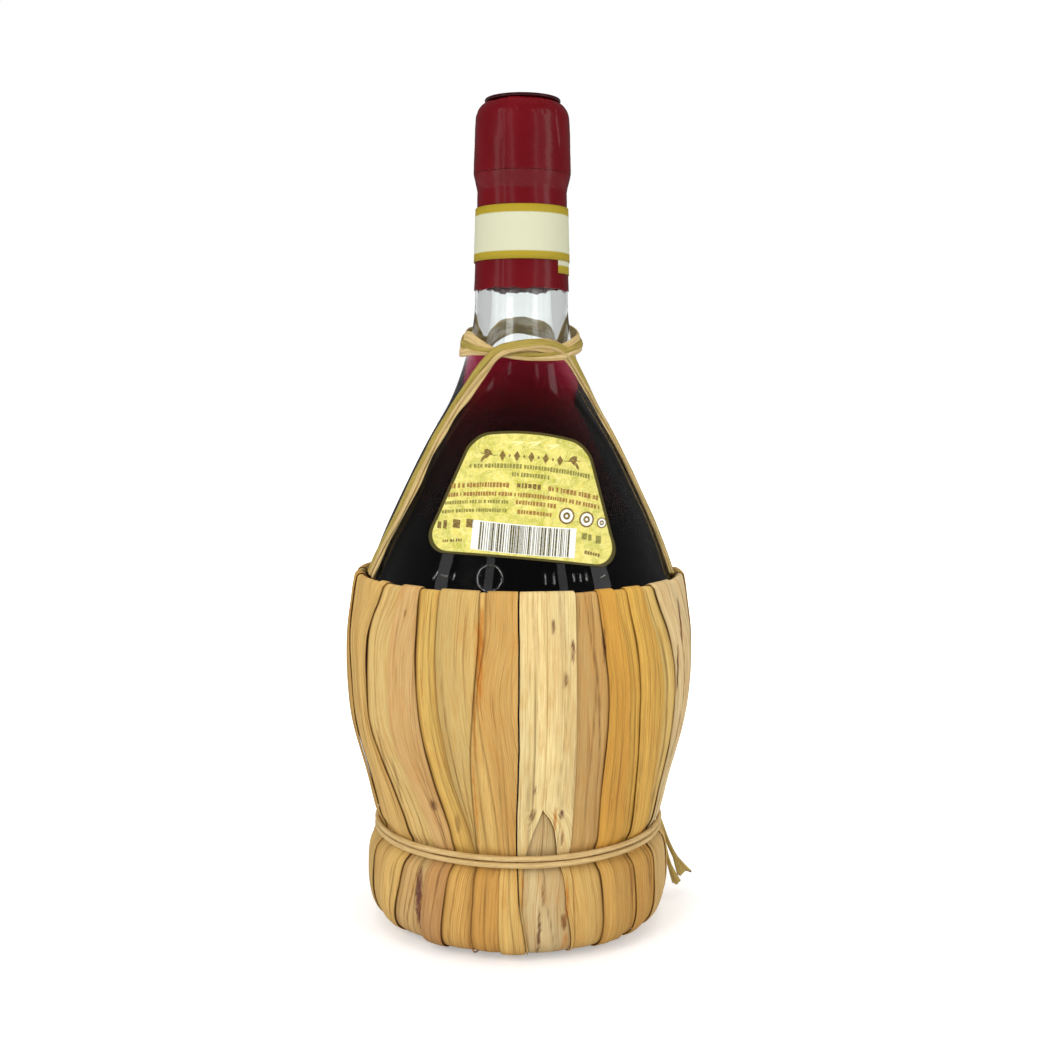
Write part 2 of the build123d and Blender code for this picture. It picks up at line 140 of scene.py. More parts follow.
def turned(profile, angles, relief=None):
    # a profile of radius and height carried round the axis; relief moves each point along its normal
    profile = np.asarray(profile, float)
    along = np.gradient(profile, axis=0)
    normal = np.stack([along[:, 1], -along[:, 0]], -1)
    normal /= np.maximum(np.linalg.norm(normal, axis=1), 1e-9)[:, None]
    out = np.zeros((len(profile), len(angles))) if relief is None else relief
    radius = profile[:, 0][:, None] + normal[:, 0][:, None] * out
    height = profile[:, 1][:, None] + normal[:, 1][:, None] * out
    return aroundAxis(np.broadcast_to(angles, radius.shape), radius, height)


def aroundAxis(angle, radius, height):
    # a point at an angle in degrees from the front towards the right, a radius and a height, from mm to m
    turn = np.radians(np.asarray(angle) - 90)
    return np.stack([radius * np.cos(turn), radius * np.sin(turn), height + 0 * turn], -1) * mm


def smoothLine(points, start, end, count):
    # a cubic spline through points spaced by their chords, with unit directions given at both ends
    points = np.array(points, float)
    reach = lengthAlong(points)
    size = len(points)
    step = np.diff(reach)
    slope = np.diff(points, axis=0) / step[:, None]
    system = np.eye(size)
    wanted = np.zeros_like(points)
    wanted[0], wanted[-1] = start, end
    inner = np.arange(1, size - 1)
    system[inner, inner - 1] = step[1:]
    system[inner, inner] = 2 * (step[:-1] + step[1:])
    system[inner, inner + 1] = step[:-1]
    wanted[1:-1] = 3 * (step[1:, None] * slope[:-1] + step[:-1, None] * slope[1:])
    direction = np.linalg.solve(system, wanted)
    at = np.linspace(0, reach[-1], count)
    span = np.clip(np.searchsorted(reach, at, side="right") - 1, 0, size - 2)
    share = ((at - reach[span]) / step[span])[:, None]
    width = step[span][:, None]
    return ((2 * share**3 - 3 * share**2 + 1) * points[span]
            + (share**3 - 2 * share**2 + share) * width * direction[span]
            + (3 * share**2 - 2 * share**3) * points[span + 1]
            + (share**3 - share**2) * width * direction[span + 1])


def waves(seed, *axes):
    # soft noise from 0: a sum of seeded sine waves over one or more arrays, each given as (array, pace)
    random = np.random.default_rng(seed)
    total = 0
    for octave in (1.0, 1.9, 3.7):
        phase = random.uniform(0, 2 * np.pi)
        for values, pace in axes:
            phase = phase + values * pace * octave * random.uniform(0.7, 1.3)
        total = total + np.sin(phase) / octave
    return total / 1.8


# Material helpers

def newMaterial(name):
    # an empty material and the tree to fill
    material = bpy.data.materials.new(name)
    material.use_nodes = True
    return material, Tree(material.node_tree)


class Tree:
    # short calls to add nodes to one node tree and to link them

    def __init__(self, tree):
        self.tree = tree
        self.nodes = tree.nodes
        self.shader = tree.nodes["Principled BSDF"]
        self.output = tree.nodes["Material Output"]

    def add(self, kind, inputs=None, **settings):
        node = self.nodes.new(kind)
        for key, value in settings.items():
            setattr(node, key, value)
        for key, value in (inputs or {}).items():
            self.feed(node.inputs[key], value)
        return node

    def feed(self, socket, value):
        # a node's first output, a socket or a plain value goes into a socket
        if isinstance(value, bpy.types.NodeSocket):
            self.tree.links.new(value, socket)
        elif isinstance(value, bpy.types.Node):
            self.tree.links.new(value.outputs[0], socket)
        elif isinstance(value, tuple) and len(value) == 3 and socket.type == "RGBA":
            socket.default_value = (*value, 1)
        else:
            socket.default_value = value

    def finish(self, **values):
        # sets the shader's own sockets, with underscores in the names for spaces
        for key, value in values.items():
            self.feed(self.shader.inputs[key.replace("_", " ")], value)

    def math(self, operation, first, second=0.0, clamp=False):
        node = self.add("ShaderNodeMath", operation=operation, use_clamp=clamp)
        self.feed(node.inputs[0], first)
        self.feed(node.inputs[1], second)
        return node

    def times(self, first, second):
        return self.math("MULTIPLY", first, second)

    def plus(self, first, second):
        return self.math("ADD", first, second)

    def minus(self, first, second, clamp=False):
        return self.math("SUBTRACT", first, second, clamp)

    def mix(self, share, first, second, blend="MIX"):
        node = self.add("ShaderNodeMix", data_type="RGBA", blend_type=blend)
        self.feed(node.inputs[0], share)
        self.feed(node.inputs[6], first)
        self.feed(node.inputs[7], second)
        return node.outputs[2]

    def noise(self, vector, scale, detail=4.0, roughness=0.55, distortion=0.0):
        values = {"Vector": vector, "Scale": scale, "Detail": detail, "Roughness": roughness,
                  "Distortion": distortion}
        return self.add("ShaderNodeTexNoise", values).outputs["Fac"]

    def grain(self, vector, stretch, *settings):
        # noise whose scale differs by axis
        return self.noise(self.stretched(vector, stretch), *settings)

    def cells(self, vector, stretch, scale):
        # the distance from scattered points
        values = {"Vector": self.stretched(vector, stretch), "Scale": scale}
        return self.add("ShaderNodeTexVoronoi", values).outputs["Distance"]

    def layer(self, base, value, first, second, tone):
        # a tone laid over a base by as much as a ramp of a value says
        return self.mix(self.ramp(value, first, second), base, tone)

    def ramp(self, value, *stops):
        # a colour ramp with (place, colour) stops
        node = self.add("ShaderNodeValToRGB", {"Fac": value})
        elements = node.color_ramp.elements
        elements.remove(elements[1])
        for number, (at, tone) in enumerate(stops):
            element = elements.new(at) if number else elements[0]
            element.position = at
            element.color = (*tone, 1) if isinstance(tone, tuple) else (tone, tone, tone, 1)
        return node.outputs["Color"]

    def stretched(self, vector, scale, turn=(0.0, 0.0, 0.0)):
        values = {"Vector": vector, "Scale": scale, "Rotation": turn}
        return self.add("ShaderNodeMapping", values).outputs[0]

    def place(self):
        return self.add("ShaderNodeTexCoord").outputs["Object"]

    def surface(self):
        return self.add("ShaderNodeUVMap", uv_map="surface").outputs[0]

    def bump(self, height, distance, strength=1.0):
        values = {"Height": height, "Distance": distance, "Strength": strength}
        return self.add("ShaderNodeBump", values).outputs[0]


# The flask's own lines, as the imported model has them

flask = {
    "radius": 52.2, "belly": 84.0, "footHeight": 6.0, "footRadius": 14.0, "pushUp": 1.0, "wall": 2.8,
    "floor": 9.5, "neckFoot": 196.0, "neckRadius": 14.3, "neckTop": 13.3, "bore": 9.25, "lipFoot": 228.2,
    "lipHeight": 231.6, "lipRadius": 14.5, "lipTop": 13.9, "lipShoulder": 249.0, "height": 253.3,
    "mouth": 1.0, "wine": 177.5,
    "shoulder": (
        (0.116, 0.969), (0.223, 0.877), (0.322, 0.771), (0.474, 0.567), (0.628, 0.333), (0.703, 0.207),
        (0.759, 0.138), (0.815, 0.084), (0.871, 0.042), (0.929, 0.0105),
    ),
}


def shoulderLine(outer, inner, count):
    # from the belly up to the foot of the neck
    rise = flask["neckFoot"] - flask["belly"]
    shares = [(0, 1), *flask["shoulder"], (1, 0)]
    stations = [(inner + (outer - inner) * out, flask["belly"] + rise * up) for up, out in shares]
    return smoothLine(stations, (0, 1), (0, 1), count)


def bowlLine(radius, depth, turn, count):
    # a part of an ellipse from the foot up to the belly
    angle = np.radians(np.linspace(-turn, 0, count))
    return np.stack([radius * np.cos(angle), flask["belly"] + depth * np.sin(angle)], -1)


def outerLine(grown=0.0):
    # the flask's outside from the middle of its foot up to its mouth, drawn larger by a distance
    squash = math.sqrt(1 - (flask["footRadius"] / flask["radius"]) ** 2)
    drop = (flask["belly"] - flask["footHeight"]) / squash
    turn = math.degrees(math.acos(flask["footRadius"] / flask["radius"]))
    across = np.linspace(0, 1, 12)[:, None]
    pushed = flask["footHeight"] + flask["pushUp"] * (1 - across**2)
    foot = np.concatenate([across * flask["footRadius"], pushed - grown], 1)
    bowl = bowlLine(flask["radius"] + grown, drop + grown, turn, 60)
    shoulder = shoulderLine(flask["radius"] + grown, flask["neckRadius"] + grown, 160)
    return np.concatenate([foot[:-1], bowl[:-1], shoulder])


def lipLine(clearance):
    # the neck and lip from the foot of the neck to the mouth, drawn larger by a clearance
    corners = [(flask["neckRadius"] + clearance, flask["neckFoot"]),
               (flask["neckTop"] + clearance, flask["lipFoot"] - clearance / 2 - 1.2),
               (flask["neckTop"] + clearance + 0.25, flask["lipFoot"] - clearance / 2 + 0.1),
               (flask["lipRadius"] + clearance - 0.25, flask["lipHeight"] - clearance / 2 - 0.4),
               (flask["lipRadius"] + clearance, flask["lipHeight"] - clearance / 2 + 0.9),
               (flask["lipTop"] + clearance, flask["lipShoulder"])]
    counts = (30, 6, 6, 6, 24)
    runs = [np.linspace(a, b, n, endpoint=False) for a, b, n in zip(corners, corners[1:], counts)]
    lean = np.array(corners[-1]) - np.array(corners[-2])
    mouth = (flask["bore"] + flask["mouth"], flask["height"] + clearance)
    bend = smoothLine([corners[-1], mouth], unit(lean), (-1, 0), 24)
    return np.concatenate(runs + [bend])


def radiusAt(height, grown=0.0):
    # the flask's outer radius at a height on the shoulder
    line = shoulderLine(flask["radius"] + grown, flask["neckRadius"] + grown, 400)
    return np.interp(height, line[:, 1], line[:, 0])


# Glass

glassLook = {"tint": (0.93, 0.96, 0.95), "roughness": 0.02, "index": 1.5, "ripple": 0.06, "wave": 0.05,
             "calmInside": 6.0, "calmOver": 30.0, "mouthEdge": 0.6, "segments": 160}


def glassMaterial():
    # clear, with a faint ripple; the inner wall doesn't mirror where the wine wets it
    material, tree = newMaterial("clearGlass")
    spot = tree.place()
    ripple = tree.grain(spot, (1.0, 1.0, 0.4), 30.0, 0.0)
    level = tree.add("ShaderNodeSeparateXYZ", {"Vector": spot}).outputs[2]
    inside = tree.add("ShaderNodeNewGeometry").outputs["Backfacing"]
    wet = tree.times(tree.math("LESS_THAN", level, flask["wine"] * mm), inside)
    tree.finish(Base_Color=glassLook["tint"], Roughness=glassLook["roughness"], IOR=glassLook["index"],
                Transmission_Weight=1.0, Specular_Tint=tree.mix(wet, (1.0, 1.0, 1.0), (0.0, 0.0, 0.0)),
                Normal=tree.bump(ripple, 0.0003, glassLook["ripple"]))
    return material


def glassFlask():
    # the outer line up, over the mouth, and the inner line down again, turned round the axis
    inner = flask["radius"] - flask["wall"]
    hollow = np.concatenate([bowlLine(inner, flask["belly"] - flask["floor"], 90, 60)[:-1],
                             shoulderLine(inner, flask["bore"], 120),
                             [(flask["bore"], flask["lipFoot"]),
                              (flask["bore"], flask["height"] - glassLook["mouthEdge"])]])
    lip = (flask["bore"] + flask["mouth"], flask["height"])
    mouth = smoothLine([lip, hollow[-1]], (-1, 0), (0, -1), 6)[1:-1]
    profile = np.concatenate([outerLine()[:-1], lipLine(0.0), mouth, hollow[::-1]])
    angles = wholeTurn(glassLook["segments"])
    row = profile[:, 1][:, None]
    wave = glassLook["wave"] * waves(3, (row, 0.06), (np.sin(np.radians(angles))[None], 2.0),
                                     (np.cos(np.radians(angles))[None], 2.0))
    # the wave is on the outside only, and calm near the axis
    wave = wave * np.clip((profile[:, 0] - glassLook["calmInside"]) / glassLook["calmOver"], 0, 1)[:, None]
    wave = wave * (np.arange(len(profile)) < len(outerLine()))[:, None]
    return turnedPiece("glassFlask", profile, angles, wave)


glass = glassMaterial()
place(glassFlask(), "flask", "glass", glass, "glass_flask")
print("glass flask")


# Raised marks moulded in the glass above the straw: a plain ring and short bars

markLook = {"height": 0.35, "width": 0.75, "level": 113.6, "ring": 3.6,
            "bars": ((-31.5, 1.6, 62), (-27.6, 1.5, -10), (-24.0, 1.2, 80), (9.0, 1.7, 90), (12.2, 1.7, 90),
                     (19.5, 1.3, 90), (22.0, 1.3, 90), (24.5, 1.3, 90), (31.0, 1.2, 20)),
            "ringAngle": -10.6, "segments": 40, "sides": 12, "outShare": 0.94, "upShare": 0.34}


def mark(name, centre, halfLength, lean, closed):
    # a low rounded ridge that follows the glass: a bar between two ends, or a closed ring
    count = markLook["segments"]
    turn = wholeTurn(count, 2 * np.pi)
    if closed:
        across, up = markLook["ring"] * np.cos(turn), markLook["ring"] * np.sin(turn)
    else:
        reach = np.linspace(-halfLength, halfLength, count)
        across, up = reach * math.cos(math.radians(lean)), reach * math.sin(math.radians(lean))
    height = markLook["level"] + up
    radius = radiusAt(height)
    angle = centre + np.degrees(across / radius)
    path = aroundAxis(angle, radius, height)
    ends = np.ones(count) if closed else np.sqrt(np.clip(1 - (np.abs(reach) / halfLength) ** 6, 0.02, 1))
    around = wholeTurn(markLook["sides"], 2 * np.pi)[None, :, None]
    outward = aroundAxis(angle, np.ones(count), np.zeros(count)) / mm * markLook["outShare"]
    outward = outward + np.array([0, 0, markLook["upShare"]])
    along = unit(np.gradient(path, axis=0) if not closed else np.roll(path, -1, 0) - np.roll(path, 1, 0))
    side = np.cross(along, outward)
    ring = side[:, None] * np.cos(around) * markLook["width"] / 2
    ring = ring + outward[:, None] * np.sin(around) * markLook["height"]
    points = path[:, None] + ring * ends[:, None, None] * mm
    faces = gridFaces(count, markLook["sides"], closedRows=closed, closedColumns=True)
    return makePiece(name, points, faces)


marks = [mark("glassMarkRing", markLook["ringAngle"], 0, 0, True)]
marks += [mark(f"glassMark{number}", angle, half, lean, False)
          for number, (angle, half, lean) in enumerate(markLook["bars"], 1)]
for piece in marks:
    place(piece, "flask", "glass", glass)
print("moulded marks")


# Wine: it laps into the glass by a hair, so that no air shows between them

wineLook = {"lap": 0.05, "colour": (0.62, 0.03, 0.24), "density": 260.0, "index": 1.34,
            "skin": (0.97, 0.90, 0.92), "meniscus": 0.7, "creep": 1.2, "segments": 128}


def wineMaterial():
    # a volume that takes up green and blue sooner than red, with no mirror of its own at the glass
    material, tree = newMaterial("redWine")
    tree.finish(Base_Color=wineLook["skin"], Roughness=0.0, IOR=wineLook["index"], Transmission_Weight=1.0,
                Specular_Tint=(0.0, 0.0, 0.0))
    depth = tree.add("ShaderNodeVolumeAbsorption",
                     {"Color": wineLook["colour"], "Density": wineLook["density"]})
    tree.tree.links.new(depth.outputs[0], tree.output.inputs["Volume"])
    return material


def wineBody():
    # the flask's inside up to the wine's level, with its edge drawn up the glass
    inner = flask["radius"] - flask["wall"] + wineLook["lap"]
    bore = flask["bore"] + wineLook["lap"]
    side = np.concatenate([bowlLine(inner, flask["belly"] - flask["floor"] + wineLook["lap"], 90, 60)[:-1],
                           shoulderLine(inner, bore, 200)])
    side = side[side[:, 1] < flask["wine"] + wineLook["meniscus"]]
    edge = side[-1, 0]
    across = np.linspace(edge, 0, 16)[1:]
    drawn = wineLook["meniscus"] * np.exp(-(edge - across) / wineLook["creep"])
    top = np.stack([across, flask["wine"] + drawn], -1)
    return turnedPiece("wineBody", np.concatenate([side, top]), wholeTurn(wineLook["segments"]))


place(wineBody(), "flask", "wine", wineMaterial(), "wine")
print("wine")


# Cork

corkLook = {"length": 38.0, "gap": 0.12, "sink": 0.6, "chamfer": 0.8, "dent": 0.12, "rows": 60,
            "segments": 96, "dark": colour(128, 84, 48), "mid": colour(190, 145, 95),
            "pale": colour(214, 172, 122), "pit": colour(84, 50, 28)}


def corkMaterial():
    # three tones of grain, with small pits
    material, tree = newMaterial("cork")
    spot = tree.place()
    grain = tree.grain(spot, (1.0, 1.0, 0.5), 420.0, 6.0, 0.6)
    pit = tree.ramp(tree.cells(spot, (1.0, 1.0, 2.2), 330.0), (0.10, 0.0), (0.30, 1.0))
    base = tree.ramp(grain, (0.30, corkLook["dark"]), (0.55, corkLook["mid"]), (0.75, corkLook["pale"]))
    skin = tree.mix(pit, corkLook["pit"], base)
    tree.finish(Base_Color=skin, Roughness=0.85, Normal=tree.bump(pit, 0.0004, 0.8))
    return material


def corkBody():
    # a cylinder with chamfered ends and a slightly uneven skin
    radius = flask["bore"] - corkLook["gap"]
    top = flask["height"] - corkLook["sink"]
    foot = top - corkLook["length"]
    cut = corkLook["chamfer"]
    rise = np.linspace(foot + cut, top - cut, corkLook["rows"])
    wall = np.stack([np.full(len(rise), radius), rise], -1)
    profile = np.concatenate([[(0, foot), (radius / 2, foot), (radius - cut, foot)], wall,
                              [(radius - cut, top), (radius / 2, top), (0, top)]])
    angles = wholeTurn(corkLook["segments"])
    turn = np.radians(angles)[None]
    uneven = -corkLook["dent"] * (0.5 + 0.5 * waves(8, (profile[:, 1][:, None], 0.7), (np.cos(turn), 3.0),
                                                    (np.sin(turn), 3.0)))
    uneven = uneven * (profile[:, 0] > radius - cut / 2)[:, None]
    return turnedPiece("corkBody", profile, angles, uneven)


place(corkBody(), "cork", "cork", corkMaterial(), "cork")
print("cork")


# Capsule: a shrunk film with a seam, a crumpled shoulder and a wavy torn foot

capsule = {"gap": 0.15, "film": 0.25, "foot": 197.0, "cut": 232.0, "cutGap": 0.12, "eye": 8.6,
           "segments": 288, "discRadius": 11.6, "discThick": 1.0, "discGap": 0.05, "discEdge": 0.35,
           "discDish": 0.12, "seamAngle": -22.0, "seamHeight": 0.16, "seamSharp": 3.2, "seamFade": 12.0,
           "wave": 0.10, "lipWave": 0.05, "tear": 0.45, "tearReach": 6.0,
           "crumple": 0.30, "crumpleLevel": 251.2, "crumpleReach": 2.4,
           "fold": 0.32, "foldAngle": 46.0, "foldLevel": 243.5, "foldReach": 5.5,
           "roughness": 0.22, "coat": 0.35, "red": colour(116, 0, 14), "deepRed": colour(84, 0, 8),
           "topRed": colour(62, 6, 14), "deepTopRed": colour(40, 3, 9)}


def capsuleMaterial(name, bright, deep):
    # two reds in soft clouds under a thin clear coat, with creases and a fine grain
    material, tree = newMaterial(name)
    spot = tree.place()
    cloud = tree.grain(spot, (1.0, 1.0, 0.6), 60.0, 3.0)
    crease = tree.grain(spot, (1.0, 1.0, 1.6), 160.0, 5.0, 0.6, 0.6)
    relief = tree.plus(tree.times(crease, 0.7), tree.times(tree.noise(spot, 900.0, 2.0), 0.06))
    tree.finish(Base_Color=tree.mix(cloud, deep, bright), IOR=1.5, Specular_IOR_Level=0.35,
                Roughness=tree.plus(tree.times(cloud, 0.14), capsule["roughness"]),
                Coat_Weight=capsule["coat"], Coat_Roughness=0.14, Normal=tree.bump(relief, 0.0004, 0.35))
    return material


def filmRelief(profile, angles):
    # the seam, long soft waves down the side, one leaning fold, and short creases on the shoulder
    height = profile[:, 1][:, None]
    angle = angles[None]
    turn = np.radians(angle)
    away = signedTurn(angle - capsule["seamAngle"])
    seam = capsule["seamHeight"] / (1 + np.exp(-away * capsule["seamSharp"]))
    seam = seam * np.exp(-np.clip(away, 0, None) / capsule["seamFade"])
    long = capsule["wave"] * waves(21, (np.cos(turn), 3.2), (np.sin(turn), 3.2), (height, 0.10))
    near = np.exp(-((height - capsule["crumpleLevel"]) / capsule["crumpleReach"]) ** 2)
    crumple = capsule["crumple"] * near * np.abs(waves(22, (angle, 0.26), (height, 0.5)))
    crumple = crumple * (0.45 + 0.55 * np.sin(turn * 2 + 0.6) ** 2)
    lean = signedTurn(angle - capsule["foldAngle"] - (249 - height) * 0.5)
    fold = capsule["fold"] * np.exp(-lean**2 / 3.0)
    fold = fold * np.exp(-((height - capsule["foldLevel"]) / capsule["foldReach"]) ** 2)
    lip = capsule["lipWave"] * waves(23, (angle, 0.09), (height, 0.8))
    settled = np.clip((height - capsule["foot"]) / 3, 0, 1)
    return seam + (long + lip) * settled - crumple + fold


def film(name, low, high, torn):
    # a closed thin shell between two heights of the lip's line
    angles = wholeTurn(capsule["segments"])
    ragged = capsule["tear"] * (waves(31, (angles, 0.11)) + 0.3 * waves(32, (angles, 0.5)))

    def wall(clearance, wavy):
        # one face of the film up to its eye, cut to the two heights, with a point of its own at each
        line = lipLine(clearance)
        rising = line[:70]
        line = np.concatenate([line, np.linspace(line[-1], (capsule["eye"], line[-1, 1]), 6)[1:]])
        whole = high > flask["height"]
        kept = line[(line[:, 1] > low + 0.01) & ((line[:, 1] < high - 0.01) | whole)]
        ends = [[(np.interp(at, rising[:, 1], rising[:, 0]), at)] for at in (low, high)]
        line = np.concatenate([ends[0], kept] + ([] if whole else [ends[1]]))
        points = turned(line, angles, filmRelief(line, angles) if wavy else None)
        if torn:
            # the foot's rows are moved down and up in uneven steps
            fade = np.clip(1 - (line[:, 1] - low) / capsule["tearReach"], 0, 1)[:, None]
            points[:, :, 2] += ragged[None] * fade * mm
        return points

    outer = wall(capsule["gap"] + capsule["film"], True)
    points = np.concatenate([outer, wall(capsule["gap"], False)[::-1]])
    return makePiece(name, points, gridFaces(len(points), len(angles), closedRows=True, closedColumns=True),
                     weld=True)


def topDisc():
    # a thin disc with a rounded edge and a slightly dished face
    foot = flask["height"] + capsule["gap"] + capsule["film"] + capsule["discGap"]
    radius, edge, half = capsule["discRadius"], capsule["discEdge"], capsule["discThick"] / 2
    bend = np.radians(np.linspace(-90, 90, 13))
    rim = np.stack([radius - edge + edge * np.cos(bend), foot + half + half * np.sin(bend)], -1)
    face = np.linspace(radius - edge, 0, 14)[1:]
    dish = foot + 2 * half - capsule["discDish"] * np.clip(1 - (face / (radius - 1.5)) ** 6, 0, 1)
    profile = np.concatenate([[(0, foot), (radius / 2, foot)], rim, np.stack([face, dish], -1)])
    return turnedPiece("topDisc", profile, wholeTurn(128))


capsuleRed = capsuleMaterial("capsuleFilm", capsule["red"], capsule["deepRed"])
capsuleTop = capsuleMaterial("capsuleTop", capsule["topRed"], capsule["deepTopRed"])
halfCut = capsule["cutGap"] / 2
skirt = film("capsuleSkirt", capsule["foot"], capsule["cut"] - halfCut, True)
place(skirt, "flask", "capsule", capsuleRed, "capsule_skirt")
cap = film("capsuleCap", capsule["cut"] + halfCut, np.inf, False)
place(cap, "cap", "capsule", capsuleRed, "capsule_cap")
place(topDisc(), "cap", "capsule_top", capsuleTop, "capsule_disc")
print("capsule")


# Paper band round the neck: one turn, its last stretch lapped over the lower end

band = {"foot": 205.6, "height": 16.2, "drop": 3.9, "lapStart": 49.5, "lapTurn": 75.0, "thick": 0.15,
        "gap": 0.1, "line": 2.4, "rows": 12, "turnColumns": 240, "lapColumns": 80, "sway": 0.12,
        "wave": 0.03, "meanRadius": 14.0, "paper": colour(188, 192, 168), "warm": colour(214, 210, 174),
        "gold": colour(152, 132, 8), "paleGold": colour(176, 152, 30)}


def bandMaterial():
    # V runs from 0 at the band's lower edge to 1 at its top, and its edge lines are as wide as on the band
    material, tree = newMaterial("bandPaper")
    spot = tree.surface()
    parts = tree.add("ShaderNodeSeparateXYZ", {"Vector": spot})
    share = band["line"] / band["height"]
    level = parts.outputs[1]
    edge = tree.math("ABSOLUTE", tree.minus(level, 0.5))
    gold = tree.ramp(edge, (0.5 - share - 0.012, 0.0), (0.5 - share + 0.012, 1.0))
    fibre = tree.grain(spot, (60.0, 12.0, 1.0), 3.0, 5.0)
    curls = tree.add("ShaderNodeTexWave", {"Vector": tree.stretched(spot, (2.2, 1.0, 1.0)), "Scale": 9.0,
                                           "Distortion": 6.0, "Detail": 1.0, "Detail Scale": 0.6},
                     wave_type="RINGS", rings_direction="SPHERICAL")
    lines = tree.ramp(curls.outputs["Fac"], (0.40, 1.0), (0.50, 0.86), (0.60, 1.0))
    paper = tree.mix(fibre, band["paper"], band["warm"])
    drawn = tree.mix(0.75, paper, lines, "MULTIPLY")
    ink = tree.mix(tree.noise(spot, 30.0, 3.0), band["gold"], band["paleGold"])
    tree.finish(Base_Color=tree.mix(gold, drawn, ink), Roughness=0.55, Sheen_Weight=0.0,
                Normal=tree.bump(fibre, 0.0001, 0.3))
    return material


def bandShell(name, low, start, end, out, closed):
    # a thin paper wall that follows the film's taper, between two angles
    fall = (flask["neckRadius"] - flask["neckTop"]) / (flask["lipFoot"] - flask["neckFoot"])
    rows, count = band["rows"], band["turnColumns" if closed else "lapColumns"]
    rise = np.linspace(0, 1, rows)[:, None]
    angle = np.linspace(start, end, count, endpoint=not closed)[None] + 0 * rise
    height = low + band["height"] * rise + band["sway"] * np.sin(np.radians(angle) + 0.8)
    wave = band["wave"] * waves(41, (angle, 0.10), (height, 0.3))
    radius = flask["neckRadius"] - fall * (height - flask["neckFoot"]) + out + wave
    radius = radius + capsule["gap"] + capsule["film"]
    outer = aroundAxis(angle, radius + band["thick"], height)
    points = np.concatenate([outer, aroundAxis(angle, radius, height)[::-1]])
    uv = np.stack([np.radians(angle) * band["meanRadius"] / band["height"], rise + 0 * angle], -1)
    faces = gridFaces(2 * rows, count, closedRows=True, closedColumns=closed)
    if not closed:
        # the two ends: the outer face's points upwards and the inner face's beside them
        front, back = np.arange(rows) * count, np.arange(rows, 2 * rows)[::-1] * count
        end = np.stack([front[:-1], front[1:], back[1:], back[:-1]], -1)
        faces = np.concatenate([faces, end, end[:, ::-1] + count - 1])
    return makePiece(name, points, faces, uv=np.concatenate([uv, uv[::-1]]))


paperBand = bandMaterial()
under = bandShell("neckBandTurn", band["foot"], 0, 360, band["gap"] + band["thick"], True)
place(under, "flask", "band_paper", paperBand, "neck_band")
lap = bandShell("neckBandLap", band["foot"] - band["drop"], band["lapStart"],
                band["lapStart"] + band["lapTurn"], 0.0, False)
place(lap, "flask", "band_paper", paperBand)
print("neck band")


# Printed label on the shoulder. Its outline and print are laid out flat, in mm from its middle with +X to
# the right along its own tilt, and each point is then set on the glass as it is seen from the front.

label = {
    "right": 1.7, "height": 135.9, "turn": -4.6, "gap": 0.1, "thick": 0.15, "ink": 0.035,
    "topHalf": 17.4, "footHalf": 29.3, "half": 18.6, "topBow": 2.4, "footBow": 1.6, "topCorner": 7.0,
    "footCorner": 5.0, "borderShare": 0.958, "rowBow": 0.0047,
    "paper": colour(224, 210, 108), "green": colour(190, 184, 76), "cream": colour(238, 232, 164),
    "border": colour(78, 70, 26), "brown": colour(96, 62, 30), "olive": colour(116, 112, 48),
    "rust": colour(140, 86, 40), "white": colour(232, 234, 236), "black": colour(34, 34, 40),
    # each row of marks: left end, right end, level at the middle, height, ink, mean mark width, seed
    "rows": ((-17.2, 17.9, 8.5, 1.5, "olive", 0.85, 1), (-4.6, 6.4, 6.2, 1.4, "olive", 0.8, 2),
             (-22.0, -5.6, 3.1, 1.6, "rust", 0.85, 3), (-2.9, 4.0, 3.2, 1.7, "brown", 1.1, 4),
             (6.2, 20.6, 3.1, 1.6, "rust", 0.9, 5), (-22.6, 21.3, 0.6, 1.4, "rust", 0.75, 6),
             (-23.4, -5.6, -1.6, 1.2, "olive", 0.7, 7), (-2.8, 8.2, -1.5, 1.4, "rust", 0.9, 8),
             (-24.0, -5.6, -4.0, 1.2, "olive", 0.7, 9), (-2.2, 7.2, -4.1, 1.3, "rust", 0.9, 10),
             (-24.9, -16.0, -7.6, 2.7, "brown", 2.2, 11), (-22.9, -17.4, -12.2, 1.0, "brown", 0.7, 12),
             (16.9, 23.6, -8.2, 2.5, "olive", 1.6, 13), (18.0, 22.6, -12.4, 1.1, "brown", 0.7, 14)),
    "panel": (-14.6, 15.2, -7.6, -15.2), "barsFrom": -12.6, "barsTo": 13.4, "bars": 46,
    "rings": ((12.1, -4.3, 2.3), (18.0, -5.0, 2.2), (22.6, -5.8, 1.5)),
    # a row of lozenges and dots, with a spray of leaves at each end; the pale streaks above it are painted
    # highlights, glints on the label
    "gemFrom": -7.8, "gemTo": 9.0, "gemLevel": 11.4, "gems": 9, "lozenge": 1.5, "dot": 0.55,
    "spray": ((150, 2.6, 1.0), (205, 2.4, 0.9), (118, 2.0, 0.8), (240, 1.9, 0.7)), "sprayFrom": 11.2,
    "sprayLevel": 11.2,
    "glints": ((-6.0, 15.0), (-1.0, 15.3), (4.5, 14.9)),
}


def onLabel(flat, out):
    # flat label points to the shoulder: turned, moved, and set on the glass at a distance outside it
    flat = np.asarray(flat, float)
    turn = math.radians(label["turn"])
    across = flat[..., 0] * math.cos(turn) - flat[..., 1] * math.sin(turn) + label["right"]
    height = flat[..., 0] * math.sin(turn) + flat[..., 1] * math.cos(turn) + label["height"]
    radius = radiusAt(height, label["gap"] + out)
    depth = -np.sqrt(np.maximum(radius**2 - across**2, 0.01))
    return np.stack([across, depth, height], -1) * mm


